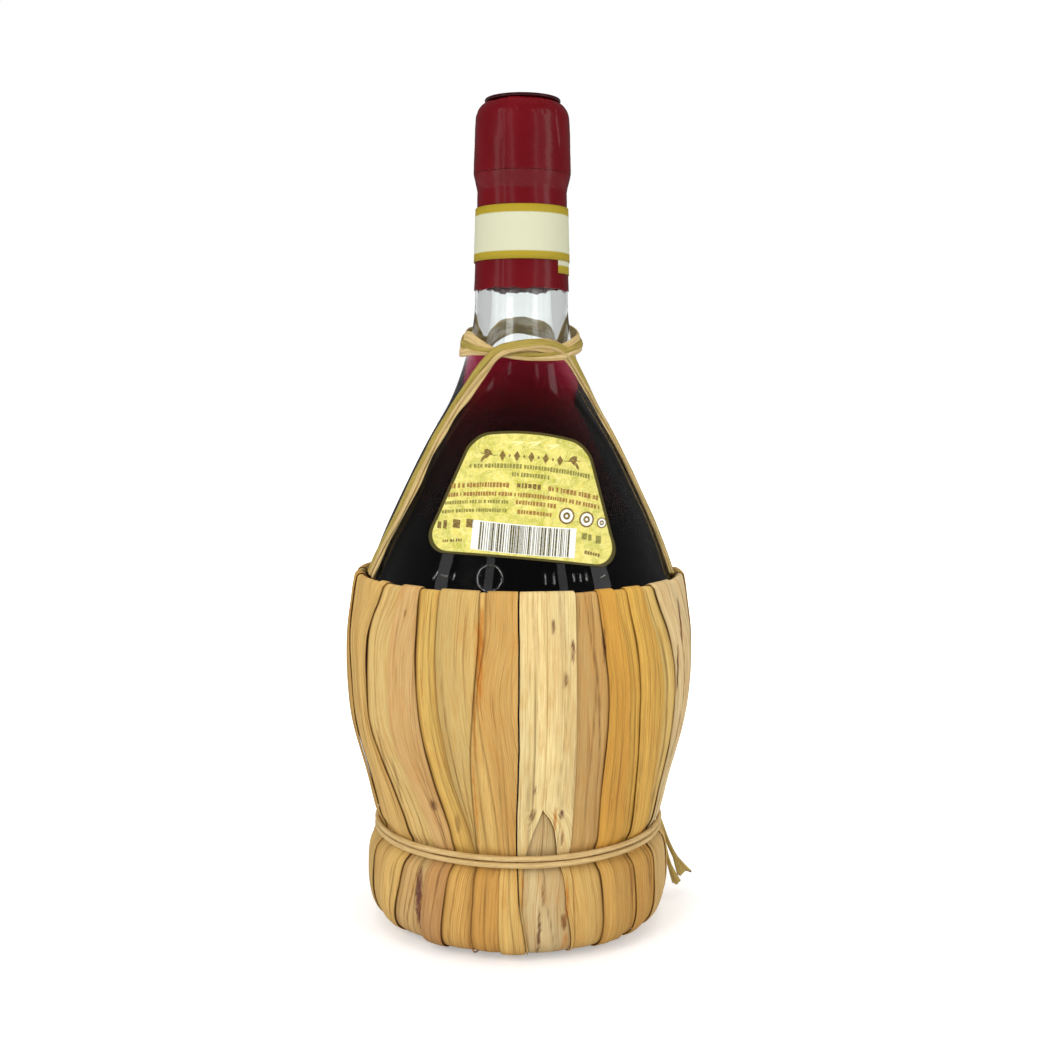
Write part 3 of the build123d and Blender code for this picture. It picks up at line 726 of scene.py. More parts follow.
def labelOutline(count):
    # corners rounded by arcs, then the top bowed up and the foot bowed in by parabolas
    corners = [((-label["footHalf"], -label["half"]), label["footCorner"]),
               ((label["footHalf"], -label["half"]), label["footCorner"]),
               ((label["topHalf"], label["half"] - label["topBow"]), label["topCorner"]),
               ((-label["topHalf"], label["half"] - label["topBow"]), label["topCorner"])]
    points = []
    for number, (corner, radius) in enumerate(corners):
        corner = np.array(corner)
        before = np.array(corners[number - 1][0]) - corner
        after = np.array(corners[(number + 1) % 4][0]) - corner
        before, after = unit(before), unit(after)
        half = math.acos(np.clip(before @ after, -1, 1)) / 2
        centre = corner + unit(before + after) * radius / math.sin(half)
        start = centre - corner - before * (radius / math.tan(half))
        stop = centre - corner - after * (radius / math.tan(half))
        first, last = np.arctan2(*-start[::-1]), np.arctan2(*-stop[::-1])
        swing = (last - first + np.pi) % (2 * np.pi) - np.pi
        angle = first + swing * np.linspace(0, 1, 14)
        points.append(centre + radius * np.stack([np.cos(angle), np.sin(angle)], -1))
    ring = np.concatenate(points + [points[0][:1]])
    ring = evenly(ring, count, closed=True)
    top = label["topBow"] * np.clip(1 - (ring[:, 0] / label["topHalf"]) ** 2, 0, 1) * (ring[:, 1] > 0)
    foot = label["footBow"] * np.clip(1 - (ring[:, 0] / label["footHalf"]) ** 2, 0, 1) * (ring[:, 1] < -10)
    ring[:, 1] += top + foot
    return ring


def labelMaterial():
    # mottled paper with pale curling lines; the border lies outside what the tint marks
    material, tree = newMaterial("labelPaper")
    spot = tree.surface()
    curls = tree.noise(spot, 0.22, 1.0, 0.5, 2.2)
    lines = tree.math("ABSOLUTE", tree.minus(tree.math("FRACT", tree.times(curls, 7.0)), 0.5))
    cloud = tree.ramp(tree.noise(spot, 0.22, 3.0, 0.55, 0.8), (0.40, 0.0), (0.58, 1.0))
    grain = tree.noise(spot, 2.4, 5.0, 0.65)
    fleck = tree.add("ShaderNodeTexVoronoi", {"Vector": spot, "Scale": 0.55})
    base = tree.mix(cloud, label["green"], label["paper"])
    base = tree.layer(base, lines, (0.16, 0.42), (0.26, 0.0), label["cream"])
    base = tree.layer(base, fleck.outputs["Distance"], (0.15, 0.20), (0.40, 0.0), label["olive"])
    base = tree.layer(base, grain, (0.40, 0.22), (0.62, 0.0), label["green"])
    edge = tree.add("ShaderNodeAttribute", attribute_name="tint").outputs["Fac"]
    line = tree.ramp(edge, (0.49, 1.0), (0.51, 0.0))
    tree.finish(Base_Color=tree.mix(line, base, label["border"]), Roughness=0.42, Coat_Weight=0.12,
                Coat_Roughness=0.3, Normal=tree.bump(grain, 0.0001, 0.25))
    return material


def labelSheet():
    # rings of points that close in on the label's middle, front and back, joined at the outline
    ring = labelOutline(300)
    border = label["borderShare"]
    shares = np.concatenate([[1.0, 0.985, border + 0.001, border], np.linspace(border, 0, 20)[1:]])
    flat = ring[None] * shares[:, None, None]
    behind = flat[[0, 3, 8, 14, -1]]
    points = np.concatenate([onLabel(flat, label["thick"])[::-1], onLabel(behind, 0.0)])
    inner = np.concatenate([(shares <= border)[::-1] * 1.0, np.zeros(len(behind))])
    tint = np.repeat(inner[:, None], len(ring), 1)[..., None] * np.ones(4)
    return makePiece("labelSheet", points, gridFaces(len(points), len(ring), closedColumns=True),
                     uv=np.concatenate([flat[::-1], behind]), tint=tint, weld=True)


def inkMaterial():
    # each mark's own tone, or the pale tone of the painted glints, worn here and there to the paper
    material, tree = newMaterial("labelInk")
    tone = tree.add("ShaderNodeAttribute", attribute_name="tint").outputs["Color"]
    worn = tree.noise(tree.surface(), 1.8, 4.0)
    tree.finish(Base_Color=tree.layer(tone, worn, (0.35, 0.0), (0.7, 0.35), label["paper"]), Roughness=0.5)
    return material


class Print:
    # collects flat shapes, each a small grid of points, and lays them on the label as one piece

    def __init__(self):
        self.flat, self.faces, self.tones, self.count = [], [], [], 0

    def add(self, flat, faces, tone):
        self.flat.append(flat)
        self.faces.append(faces + self.count)
        self.tones.append(np.tile([*label[tone], 1.0], (len(flat), 1)))
        self.count += len(flat)

    def quad(self, corners, tone, pieces=2, rows=1):
        # corners run left foot, right foot, right top, left top
        a, b, c, d = np.array(corners, float)
        s = np.linspace(0, 1, pieces + 1)[None, :, None]
        t = np.linspace(0, 1, rows + 1)[:, None, None]
        grid = (a * (1 - s) + b * s) * (1 - t) + (d * (1 - s) + c * s) * t
        self.add(grid.reshape(-1, 2), gridFaces(rows + 1, pieces + 1), tone)

    def upright(self, left, right, foot, top, tone, *pieces):
        self.quad([(left, foot), (right, foot), (right, top), (left, top)], tone, *pieces)

    def ring(self, x, y, inner, outer, tone, count=28):
        turn = wholeTurn(count, 2 * np.pi)
        circle = np.stack([np.cos(turn), np.sin(turn)], -1)
        flat = np.concatenate([circle * inner, circle * outer]) + (x, y)
        self.add(flat, gridFaces(2, count, closedColumns=True)[:, ::-1], tone)

    def leaf(self, x, y, lean, length, width, tone):
        # a pointed leaf: the width follows a half sine along it
        share = np.linspace(0, 1, 9)
        wide = width / 2 * np.sin(np.pi * share)[:, None] + 0.03
        axis = np.array([math.cos(math.radians(lean)), math.sin(math.radians(lean))])
        side = np.array([-axis[1], axis[0]])
        middle = np.array([x, y]) + share[:, None] * length * axis
        flat = np.concatenate([middle - side * wide, middle + side * wide])
        self.add(flat, gridFaces(2, len(share)), tone)

    def piece(self, name, out):
        flat = np.concatenate(self.flat)
        return makePiece(name, onLabel(flat, label["thick"] + out), np.concatenate(self.faces), uv=flat,
                         tint=np.concatenate(self.tones), smooth=False)


def labelPrint():
    # rows of plain dashes, a row of lozenges with leaves at its ends, and plain rings
    ink = Print()
    for left, right, level, height, tone, mean, seed in label["rows"]:
        # uneven dashes, with a wider space now and then
        random = np.random.default_rng(seed)
        x = left
        while x < right:
            width = mean * random.uniform(0.45, 1.0)
            half = height * random.choice([1.0, 1.0, 0.8]) * 0.43
            low = level - label["rowBow"] * (x + width / 2) ** 2
            ink.upright(x, x + width, low - half, low + half, tone)
            x += width + mean * (0.28 if random.random() > 0.16 else 0.8)
    for number, x in enumerate(np.linspace(label["gemFrom"], label["gemTo"], label["gems"])):
        size = label["dot" if number % 2 else "lozenge"]
        low = label["gemLevel"] - label["rowBow"] * x**2
        wide = size * 0.62
        ink.quad([(x, low - size), (x + wide, low), (x, low + size), (x - wide, low)], "brown", 2)
    for side in (-1, 1):
        for step, (lean, length, width) in enumerate(label["spray"]):
            turn = lean if side < 0 else 180 - lean
            at = side * (label["sprayFrom"] + 0.75 * step) + 0.4
            ink.leaf(at, label["sprayLevel"] - 0.3 * step, turn, length, width, "brown")
        ink.leaf(side * 9.8 + 0.4, 10.9, 176 if side < 0 else 4, 5.2, 0.28, "brown")
    # painted highlights: pale streaks laid in the print for glints of light on the label
    for x, level in label["glints"]:
        ink.leaf(x, level, 8, 4.4, 0.5, "cream")
        ink.leaf(x + 1.0, level - 0.9, 24, 3.2, 0.35, "cream")
    for x, y, radius in label["rings"]:
        ink.ring(x, y, radius * 0.78, radius, "brown")
        ink.ring(x, y, 0.02, radius * 0.78, "white")
        ink.ring(x, y, radius * 0.18, radius * 0.45, "brown")
    return ink.piece("labelPrint", label["ink"])


def labelPanel():
    # a white panel with plain upright bars
    left, right, top, foot = label["panel"]
    panel, bars = Print(), Print()
    panel.upright(left, right, foot - 0.5, top, "white", 24, 8)
    edges = np.cumsum(np.random.default_rng(77).choice([1.0, 1.0, 2.0, 3.0], label["bars"] * 2))
    edges = label["barsFrom"] + (label["barsTo"] - label["barsFrom"]) * edges / edges[-1]
    for start, stop in zip(edges[0::2], edges[1::2]):
        bars.upright(start, stop, foot - label["footBow"] * 0.2, top - 0.3, "black", 1, 8)
    return panel.piece("labelPanel", label["ink"]), bars.piece("labelBars", 2 * label["ink"])


place(labelSheet(), "flask", "label_paper", labelMaterial(), "back_label")
inkLook = inkMaterial()
for piece in (labelPrint(), *labelPanel()):
    place(piece, "flask", "label_paper", inkLook)
print("label")


# Straw cover: leaf strips in two layers, each folded over the rim and tucked under the foot

cover = {
    "discThick": 1.2, "gap": 0.15, "thick": 0.4, "tuck": 30.0, "tuckBend": 38.2, "cordRadius": 0.8,
    "clearance": 0.5, "sideLean": 12.8, "rimDrop": 0.3, "lap": 7.0, "rows": (6, 120, 26, 9), "waist": 30.6,
    "shares": (
        (0.020, 0.838), (0.059, 0.880), (0.152, 0.893), (0.204, 0.882), (0.222, 0.866), (0.243, 0.822),
        (0.268, 0.816), (0.288, 0.822), (0.308, 0.845), (0.332, 0.861), (0.420, 0.903), (0.498, 0.947),
        (0.585, 0.991), (0.682, 1.016), (0.766, 1.023), (0.860, 1.014), (0.935, 0.993),
    ),
}
coverLayer = cover["thick"] + cover["gap"]
coverFloor = cover["discThick"] + cover["gap"] + 2 * coverLayer
rimShare = flask["shoulder"][1]
rimHeight = flask["belly"] + (flask["neckFoot"] - flask["belly"]) * rimShare[0] - cover["rimDrop"]
rimGlass = flask["neckRadius"] + (flask["radius"] - flask["neckRadius"]) * rimShare[1]
rimRadius = rimGlass + cover["clearance"] + 2 * coverLayer + cover["cordRadius"]


def coverPath():
    # the surface that the strips lie on: points and outward normals from the tuck to the end of the lap
    shoulder = shoulderLine(flask["radius"], flask["neckRadius"], 600)
    fall = np.gradient(shoulder[:, 0]) / np.gradient(shoulder[:, 1])
    rimLean = math.degrees(math.atan(-np.interp(rimHeight, shoulder[:, 1], fall)))
    lean = math.radians(cover["sideLean"])
    rise, cord = rimHeight - coverFloor, cover["cordRadius"]
    stations = [(cover["tuckBend"], coverFloor)]
    stations += [(flask["radius"] * out, coverFloor + rise * up) for up, out in cover["shares"]]
    stations += [(rimRadius + cord * math.cos(lean), rimHeight + cord * math.sin(lean))]
    tuckRows, sideRows, foldRows, lapRows = cover["rows"]
    tuck = np.linspace((cover["tuck"], coverFloor), stations[0], tuckRows, endpoint=False)
    side = smoothLine(stations, (1, 0), (-math.sin(lean), math.cos(lean)), sideRows)
    turn = np.radians(np.linspace(cover["sideLean"], 180 + rimLean, foldRows + 1))[1:]
    fold = np.stack([rimRadius + cord * np.cos(turn), rimHeight + cord * np.sin(turn)], -1)
    down = np.array([math.sin(math.radians(rimLean)), -math.cos(math.radians(rimLean))])
    lap = fold[-1] + np.linspace(0, cover["lap"], lapRows + 1)[1:, None] * down
    path = np.concatenate([tuck, side, fold, lap])
    along = unit(np.gradient(path, axis=0))
    return path, np.stack([along[:, 1], -along[:, 0]], -1)


pathPoints, pathNormals = coverPath()
pathLength = lengthAlong(pathPoints)
foldStart = cover["rows"][0] + cover["rows"][1]
# a row's level counts on past the rim, so that the fold and the lap keep the strip's edges at the rim
rowLevel = pathPoints[:, 1].copy()
rowLevel[foldStart:] = rimHeight + 1
rowLevel[:cover["rows"][0]] = coverFloor
# the same values as columns, for arrays that also run across a strip
rowHeight, rowLength, rowRadius = rowLevel[:, None], pathLength[:, None], pathPoints[:, :1]
rowNumber = np.arange(len(pathLength))[:, None]

# The edges between neighbouring strips, in degrees from the front towards the right, at a few levels. The
# strips that the front shows have their own rows; the others are spaced one by one and waver a little.
edgeLevels = (3, 18, 36, 51, 67, 82, 97, 108)
edgeRows = {
    9: (-72, -71, -70, -72, -72, -71, -76, -77), 8: (-64, -62, -58.5, -61, -60.8, -62, -65, -54),
    7: (-55, -48.5, -45.5, -51, -57, -56.5, -56.5, -50),
    6: (-39, -36, -33, -39.6, -45, -44.5, -43.8, -41.5),
    5: (-30, -26.8, -24.5, -28.8, -31.3, -33, -33.3, -33.6),
    4: (-17.3, -16.2, -16, -21, -23.8, -25.6, -26.2, -25.9),
    3: (-17, -16, -15.4, -15.9, -14.9, -13.6, -12.2, -12.8),
    2: (-6.4, -6.6, -6.6, -8.5, -10.5, -13.0, -9.9, -10.2), 1: (3.7, 0.6, -0.7, -0.2, 0.1, 0, -0.1, -0.2),
    35: (21.7, 19.6, 20, 19.2, 17.8, 17.5, 17.4, 17.7), 34: (33, 31.5, 31, 29.2, 28.2, 28.3, 26.5, 25.3),
    33: (44, 42, 43, 40.5, 37, 36.5, 34, 31.5), 32: (50, 48, 48, 45, 41, 40.5, 38.5, 36.5),
    31: (57, 55.8, 58.5, 56, 52.5, 51.5, 47.5, 43.5), 30: (63, 61, 66, 64, 60.5, 59.5, 55, 49),
    29: (76, 76, 76, 76, 76, 76, 72, 62),
}
edgeBack = {
    10: -84.5, 11: -94.0, 12: -106.5, 13: -114.0, 14: -127.5, 15: -137.0, 16: -146.0, 17: -157.5,
    18: -171.0, 19: -178.5, 20: -192.0, 21: -201.5, 22: -214.0, 23: -222.0, 24: -233.5, 25: -245.5,
    26: -255.0, 27: -263.0, 28: -275.0,
}


def edgeAngles(number):
    # the angle of a strip's right edge, which is the left edge of the strip before it, at every row
    if number in edgeRows:
        angle = np.interp(rowLevel, edgeLevels, edgeRows[number])
        soft = np.convolve(np.pad(angle, 6, mode="edge"), np.ones(13) / 13, mode="valid")
        wander = 0.12 * waves(200 + number, (rowLevel, 0.22))
        return soft + wander - (360 if number >= 29 else 0)
    wander = 1.9 * waves(200 + number, (rowLevel, 0.035)) + 0.15 * waves(300 + number, (rowLevel, 0.2))
    return edgeBack[number] + wander


# Each strip's colour above and below the waist string
tan, paleTan, pinkTan = (222, 186, 112), (230, 200, 130), (214, 176, 118)
yellowTan, greyTan, cream = (224, 188, 104), (206, 178, 112), (236, 216, 158)
golden, deepGold, paleBeige, brownTan = (222, 178, 84), (216, 164, 70), (232, 210, 160), (208, 168, 98)
stripTones = {
    1: (brownTan, tan), 2: (tan, (208, 160, 84)), 3: (greyTan, (210, 164, 86)),
    4: (yellowTan, (212, 170, 96)), 5: (pinkTan, (190, 146, 94)), 6: (paleTan, (206, 174, 118)),
    7: (tan, tan), 8: (tan, (206, 172, 104)), 9: ((208, 170, 96), greyTan),
    28: (paleBeige, (214, 182, 124)), 29: (paleBeige, (216, 184, 120)),
    30: ((224, 194, 116), (206, 162, 84)), 31: (golden, (204, 160, 84)), 32: (golden, (206, 162, 88)),
    33: (deepGold, (204, 162, 88)), 34: ((200, 164, 104), (210, 174, 104)), 35: (cream, (212, 176, 104)),
}
backTones = (tan, paleTan, pinkTan, yellowTan, greyTan, golden, deepGold, paleBeige, brownTan)
behindTone = (206, 186, 140)

# How dark the painted shade line at a strip's right edge is; the rest are at the plain value
edgeShade = {7: 1.0, 5: 0.95, 4: 0.85, 1: 1.0, 30: 0.9, 34: 0.7, 8: 0.6}
plainShade = 0.34

# Stains: angle, level, half width and half height in mm, strength, tone
brown, purple, orange = (96, 58, 30), (92, 42, 48), (196, 120, 30)
stains = (
    (10.3, 101, 0.5, 2.2, 0.75, brown), (16.2, 94, 0.55, 3.0, 0.85, purple),
    (13.8, 86, 0.7, 2.2, 0.6, brown), (26.6, 95, 0.5, 5.0, 0.7, brown), (5.5, 54, 0.5, 1.2, 0.8, brown),
    (5.0, 46, 0.8, 2.0, 0.7, brown), (15.0, 46, 0.8, 1.4, 0.9, purple), (16.0, 38, 0.5, 2.4, 0.6, brown),
    (16.5, 13.5, 0.8, 2.4, 0.95, brown), (7.6, 10.5, 0.5, 7.5, 0.9, brown),
    (9.0, 22, 0.4, 4.0, 0.6, brown), (-38.4, 17, 1.3, 9.0, 1.1, purple),
    (-30.6, 47, 1.2, 1.8, 0.7, brown), (-38, 103, 0.5, 0.9, 0.6, brown),
    (-11.8, 92, 1.2, 14.0, 0.8, orange), (-13.4, 72, 0.5, 12.0, 0.5, orange),
    (-14.5, 50, 0.4, 14.0, 0.5, orange), (12.9, 44, 0.5, 4.0, 0.7, orange),
    (17.6, 20, 0.5, 6.0, 0.6, orange), (17.5, 7, 0.9, 3.0, 0.5, orange), (1.6, 22, 0.4, 6.0, 0.5, orange),
    (64, 98, 0.8, 7.0, 1.0, purple), (60.5, 84, 0.7, 7.0, 1.0, brown), (66, 62, 0.8, 9.0, 0.35, purple),
    (-52, 60, 0.6, 7.0, 0.4, brown), (-47, 52, 0.6, 8.0, 0.4, brown), (-22, 42, 0.9, 3.0, 0.4, brown),
    (36, 52, 0.7, 9.0, 0.25, orange), (47, 24, 0.7, 7.0, 0.3, brown), (58, 24, 0.6, 8.0, 0.5, brown),
    (-9, 30, 0.8, 4.0, 0.3, brown), (60, 40, 0.6, 8.0, 0.4, brown), (110, 60, 1.4, 12.0, 0.4, brown),
    (150, 92, 0.7, 4.0, 0.6, purple), (176, 40, 1.0, 6.0, 0.4, brown), (-110, 70, 0.9, 9.0, 0.45, brown),
    (-140, 20, 1.2, 8.0, 0.5, purple), (-165, 80, 0.8, 5.0, 0.5, brown),
    (-95, 100, 0.6, 4.0, 0.5, purple), (128, 22, 1.2, 8.0, 0.4, brown), (-125, 48, 0.6, 4.0, 0.5, orange),
)


# How a strip is shaped and shaded
leaf = {
    "column": 0.27, "columns": (14, 64), "crown": 0.16, "ripple": 0.10, "fineRipple": 0.035,
    "lift": 0.42, "liftReach": 0.9, "roundDepth": 0.16, "roundWidth": 0.22, "waistReach": 4.5,
    "foldEvery": 2.2, "folds": (1, 6), "foldDrift": 0.35, "foldAt": (0.12, 0.88), "foldMiddle": (15, 100),
    "foldHalf": (22, 70), "foldShare": (0.35, 1.0), "foldDepth": (0.06, 0.17), "foldWidth": 0.11,
    "mottle": 0.10, "warm": colour(206, 142, 52), "warmShare": 0.35, "toneReach": 1.5,
    "overShadeLine": 0.13, "underShadeLine": 0.17, "shadow": (0.34, 0.46, 0.68), "shadowReach": 0.9,
    "hiddenSide": (0.7, 0.7, 0.7, 0.6),
}


def stripFolds(random, seed, across, seenWidth):
    # one to six folds that run slowly across the strip: each a low step, with a thin dark line and a soft
    # shade painted on its lower side, where the step shades it
    drop = line = shade = 0 * across
    for fold in range(int(np.clip(seenWidth.mean() / leaf["foldEvery"], *leaf["folds"]))):
        drift = random.uniform(-leaf["foldDrift"], leaf["foldDrift"]) * (rowHeight - 60) / 60
        at = random.uniform(*leaf["foldAt"]) + drift + 0.04 * waves(seed * 7 + fold, (rowLength, 0.05))
        reach = random.choice([-1, 1]) * (across - at) * seenWidth
        middle, half = random.uniform(*leaf["foldMiddle"]), random.uniform(*leaf["foldHalf"])
        active = np.clip(1.4 - ((rowHeight - middle) / half) ** 2, 0, 1)
        active = active * np.clip(4 * np.minimum(at, 1 - at), 0, 1) * random.uniform(*leaf["foldShare"])
        step = 1 / (1 + np.exp(-np.clip(reach / leaf["foldWidth"], -30, 30)))
        drop = drop + random.uniform(*leaf["foldDepth"]) * active * step
        line = np.maximum(line, active * np.exp(-((reach - 0.12) / 0.17) ** 2))
        shade = np.maximum(shade, active * np.exp(-np.clip(reach, 0, None) / 0.7) * (reach > -0.1))
    return drop, line, shade


def stripRelief(random, seed, level, across, fromEdge, drop):
    # a low crown less the folds, two ripples, and edges that lift here and there; calm under the string,
    # in the tuck and at the end of the lap
    calm = 1 - np.exp(-((rowHeight - cover["waist"]) / leaf["waistReach"]) ** 2)
    calm = calm * np.clip((rowLength - 3) / 8, 0, 1)
    calm = calm * np.clip((pathLength[-1] - 6 - rowLength) / 6, 0.15, 1)
    crown = leaf["crown"] * (1 - (2 * across - 1) ** 2)
    ripple = leaf["ripple"] * waves(seed + 500, (rowLength, 0.11), (across, 2.0))
    ripple = ripple + leaf["fineRipple"] * waves(seed + 700, (rowLength, 0.03), (across, 38.0))
    lift = np.clip(waves(seed + 600, (rowLength, 0.05)), 0, 1) * random.uniform(0.0, leaf["lift"]) * level
    return (crown - drop + ripple + lift * np.exp(-fromEdge / leaf["liftReach"])) * calm


def stripTint(seed, tones, across, angle):
    # the tones above and below the string, soft mottling, a warmer tone here and there, and the stains
    upper, lower = (np.array(colour(*tone)) for tone in tones)
    share = 1 / (1 + np.exp(-(rowHeight - cover["waist"]) / leaf["toneReach"]))[..., None]
    tint = lower * (1 - share) + upper * share + np.zeros((*angle.shape, 1))
    tint = tint * (1 + leaf["mottle"] * waves(seed + 100, (rowLength, 0.03), (across, 5.0)))[..., None]
    warm = np.clip(0.5 * waves(seed + 150, (rowLength, 0.05), (across, 3.0)), 0, 1)[..., None]
    warm = leaf["warmShare"] * warm
    tint = tint * (1 - warm) + np.array(leaf["warm"]) * warm
    angle = signedTurn(angle)
    for at, middle, halfWidth, halfHeight, strength, tone in stains:
        # a blot inside a rounded box, with a ragged and flecked edge
        away = np.radians(signedTurn(angle - at)) * rowRadius / halfWidth
        rise = (rowHeight - middle) / halfHeight
        ragged = 0.45 * waves(int(at * 10) + 4000, (rowLength, 1.1), (angle, 2.6))
        flecks = 0.5 * waves(int(at * 10) + 4500, (rowLength, 3.4), (angle, 7.0))
        blot = np.clip((1.25 - away**2 - rise**4 + ragged + flecks) * strength, 0, 0.95)[..., None]
        tint = tint * (1 - blot) + np.array(colour(*tone)) * blot
    return tint


def stripShade(seed, level, sides, foldShadeLine, foldShade):
    # painted shade: an over strip has thin dark lines at its edges, and an under strip also a soft golden
    # shade beside its neighbours, where their edges shade it; sides holds how dark each edge is and the
    # distance from it. The dark lines go to the tint's alpha.
    core = leaf["overShadeLine"] if level else leaf["underShadeLine"]
    spread = 0.30 * (1 - level)
    lines = sum(dark * np.exp(-(away / (core + spread * dark**2)) ** 1.5) for dark, away in sides)
    soft = sum(dark * np.exp(-away / leaf["shadowReach"]) for dark, away in sides)
    soft = np.clip(soft * (0.35 + 0.55 * (1 - level)) + 0.5 * foldShade, 0, 1)[..., None]
    uneven = np.clip(0.68 + 0.60 * waves(seed + 800, (rowLength, 0.13)), 0.15, 1.2)
    overRim = np.clip((rowNumber - foldStart + 4) / 8, 0, 1)
    alpha = 1 - np.clip((0.95 * lines * uneven + 0.62 * foldShadeLine) * (1 - 0.65 * overRim), 0, 0.94)
    # painted shade: the rows past the top of the fold, which turn down inside the rim, are darkened
    alpha = alpha * np.clip((foldStart + 18 - rowNumber) / 8, 0.55, 1)
    return 1 - soft * np.array(leaf["shadow"]), alpha[..., None]


def stripShell(name, left, right, level, tones, seed, seen, edgeShades):
    # a closed thin shell between two edge lines; u runs across it and the rows run along the cover's
    # path, seen holds the edges between which the strip shows, and the last argument how dark the painted
    # shade lines at those edges are
    random = np.random.default_rng(seed)
    seenLeft, seenRight = (edge[:, None] for edge in seen)
    width = np.radians(right - left)[:, None] * rowRadius
    even = np.linspace(0, 1, int(np.clip(width.mean() / leaf["column"], *leaf["columns"])))
    u = (0.45 * even + 0.55 * (0.5 - 0.5 * np.cos(np.pi * even)))[None]
    angle = left[:, None] + (right - left)[:, None] * u
    across = np.clip((angle - seenLeft) / np.maximum(seenRight - seenLeft, 1e-9), -0.1, 1.1)
    fromEdge = np.minimum(u, 1 - u) * width
    seenWidth = np.radians(seenRight - seenLeft) * rowRadius
    drop, foldShadeLine, foldShade = stripFolds(random, seed, across, seenWidth)
    relief = stripRelief(random, seed, level, across, fromEdge, drop)
    base = cover["gap"] + level * coverLayer
    rounding = leaf["roundDepth"] * np.clip(1 - fromEdge / leaf["roundWidth"], 0, 1) ** 2
    low = np.maximum(base + relief, 0.03) + rounding * 0.5
    # the outer face from left to right, then the inner face back in fewer columns
    back = slice(None, None, -3)
    out = np.concatenate([base + cover["thick"] + relief - rounding, low[:, back]], 1)
    line = pathPoints[:, None] + pathNormals[:, None] * out[..., None]
    points = aroundAxis(np.concatenate([angle, angle[:, back]], 1), line[..., 0], line[..., 1])
    sides = [(dark, np.clip(np.radians(reach) * rowRadius, 0, None))
             for dark, reach in zip(edgeShades, (angle - seenLeft, seenRight - angle))]
    soft, alpha = stripShade(seed, level, sides, foldShadeLine, foldShade)
    tint = np.concatenate([stripTint(seed, tones, across, angle) * soft, alpha], -1)
    tint = np.concatenate([tint, tint[:, back] * np.array(leaf["hiddenSide"])], 1)
    flat = np.concatenate([u * width, (u * width)[:, back]], 1)
    uv = np.stack([flat + seed * 17.3, rowLength + 0 * flat + seed * 5.1], -1)
    rows, columns = out.shape
    caps = [list(range(columns))[::-1], list(range((rows - 1) * columns, rows * columns))]
    faces = gridFaces(rows, columns, closedColumns=True)
    return makePiece(name, points, faces, uv=uv, tint=tint, caps=caps)


# edge is the dark tone of the painted shade lines that the tint's alpha carries
huskLook = {"shadow": colour(162, 112, 50), "blotch": colour(196, 134, 54), "crease": colour(140, 90, 36),
            "vein": colour(128, 82, 34), "speck": colour(120, 78, 40), "edge": colour(70, 38, 12),
            "deepShare": (0.76, 0.68, 0.54), "paleShare": (1.10, 1.13, 1.16), "relief": 0.9}


def huskMaterial():
    # V runs along the leaf: stretched noise gives fibres, and thin dark lines where it passes a threshold
    material, tree = newMaterial("driedLeaf")
    spot = tree.surface()
    tint = tree.add("ShaderNodeAttribute", attribute_name="tint")
    fibre = tree.grain(spot, (3.1, 0.045, 1.0), 1.0, 6.0, 0.66)
    fine = tree.grain(spot, (9.0, 0.12, 1.0), 1.0, 4.0, 0.6)
    creases = tree.grain(spot, (0.75, 0.009, 1.0), 1.0, 2.0, 0.5, 0.2)
    crease = tree.ramp(creases, (0.585, 0.0), (0.61, 1.0), (0.65, 0.0))
    veins = tree.grain(spot, (1.35, 0.012, 1.0), 1.0, 2.0, 0.5, 0.15)
    vein = tree.ramp(veins, (0.605, 0.0), (0.635, 1.0), (0.665, 0.0))
    broken = tree.ramp(tree.grain(spot, (0.4, 0.10, 1.0), 1.0, 3.0), (0.42, 0.0), (0.56, 1.0))
    blotch = tree.grain(spot, (0.45, 0.09, 1.0), 1.0, 4.0, 0.6)
    speck = tree.ramp(tree.cells(spot, (1.5, 0.75, 1.0), 1.0), (0.05, 1.0), (0.12, 0.0))
    sparse = tree.ramp(tree.grain(spot, (0.35, 0.2, 1.0), 1.0, 2.0), (0.52, 0.0), (0.64, 1.0))
    deep, pale = (tree.mix(1.0, tint.outputs["Color"], huskLook[share], "MULTIPLY")
                  for share in ("deepShare", "paleShare"))
    base = tree.mix(tree.ramp(fibre, (0.30, 0.0), (0.72, 1.0)), deep, pale)
    base = tree.layer(base, fine, (0.34, 0.36), (0.56, 0.0), huskLook["shadow"])
    base = tree.layer(base, blotch, (0.50, 0.0), (0.74, 0.42), huskLook["blotch"])
    # painted shade: long thin dark lines that stand for the shade in the leaf's folds
    base = tree.mix(tree.times(crease, 0.5), base, huskLook["crease"])
    base = tree.mix(tree.times(tree.times(vein, broken), 0.6), base, huskLook["vein"])
    base = tree.mix(tree.times(tree.times(speck, sparse), 0.6), base, huskLook["speck"])
    # painted shade: the dark lines along the strips' edges, as much as the tint's alpha takes away
    base = tree.mix(tree.minus(1.0, tint.outputs["Alpha"], clamp=True), base, huskLook["edge"])
    height = tree.plus(tree.times(fibre, 0.8), tree.times(fine, 0.35))
    tree.finish(Base_Color=base, Roughness=tree.plus(tree.times(fibre, 0.2), 0.5), Specular_IOR_Level=0.32,
                Sheen_Weight=0.0, Normal=tree.bump(height, 0.0003, huskLook["relief"]))
    return material


husk = huskMaterial()
edges = {number: edgeAngles(number) for number in (*edgeRows, *edgeBack)}
edges[36] = edges[1] - 360
underLap, seamGap, splitTip = 1.6, 0.25, 8.4
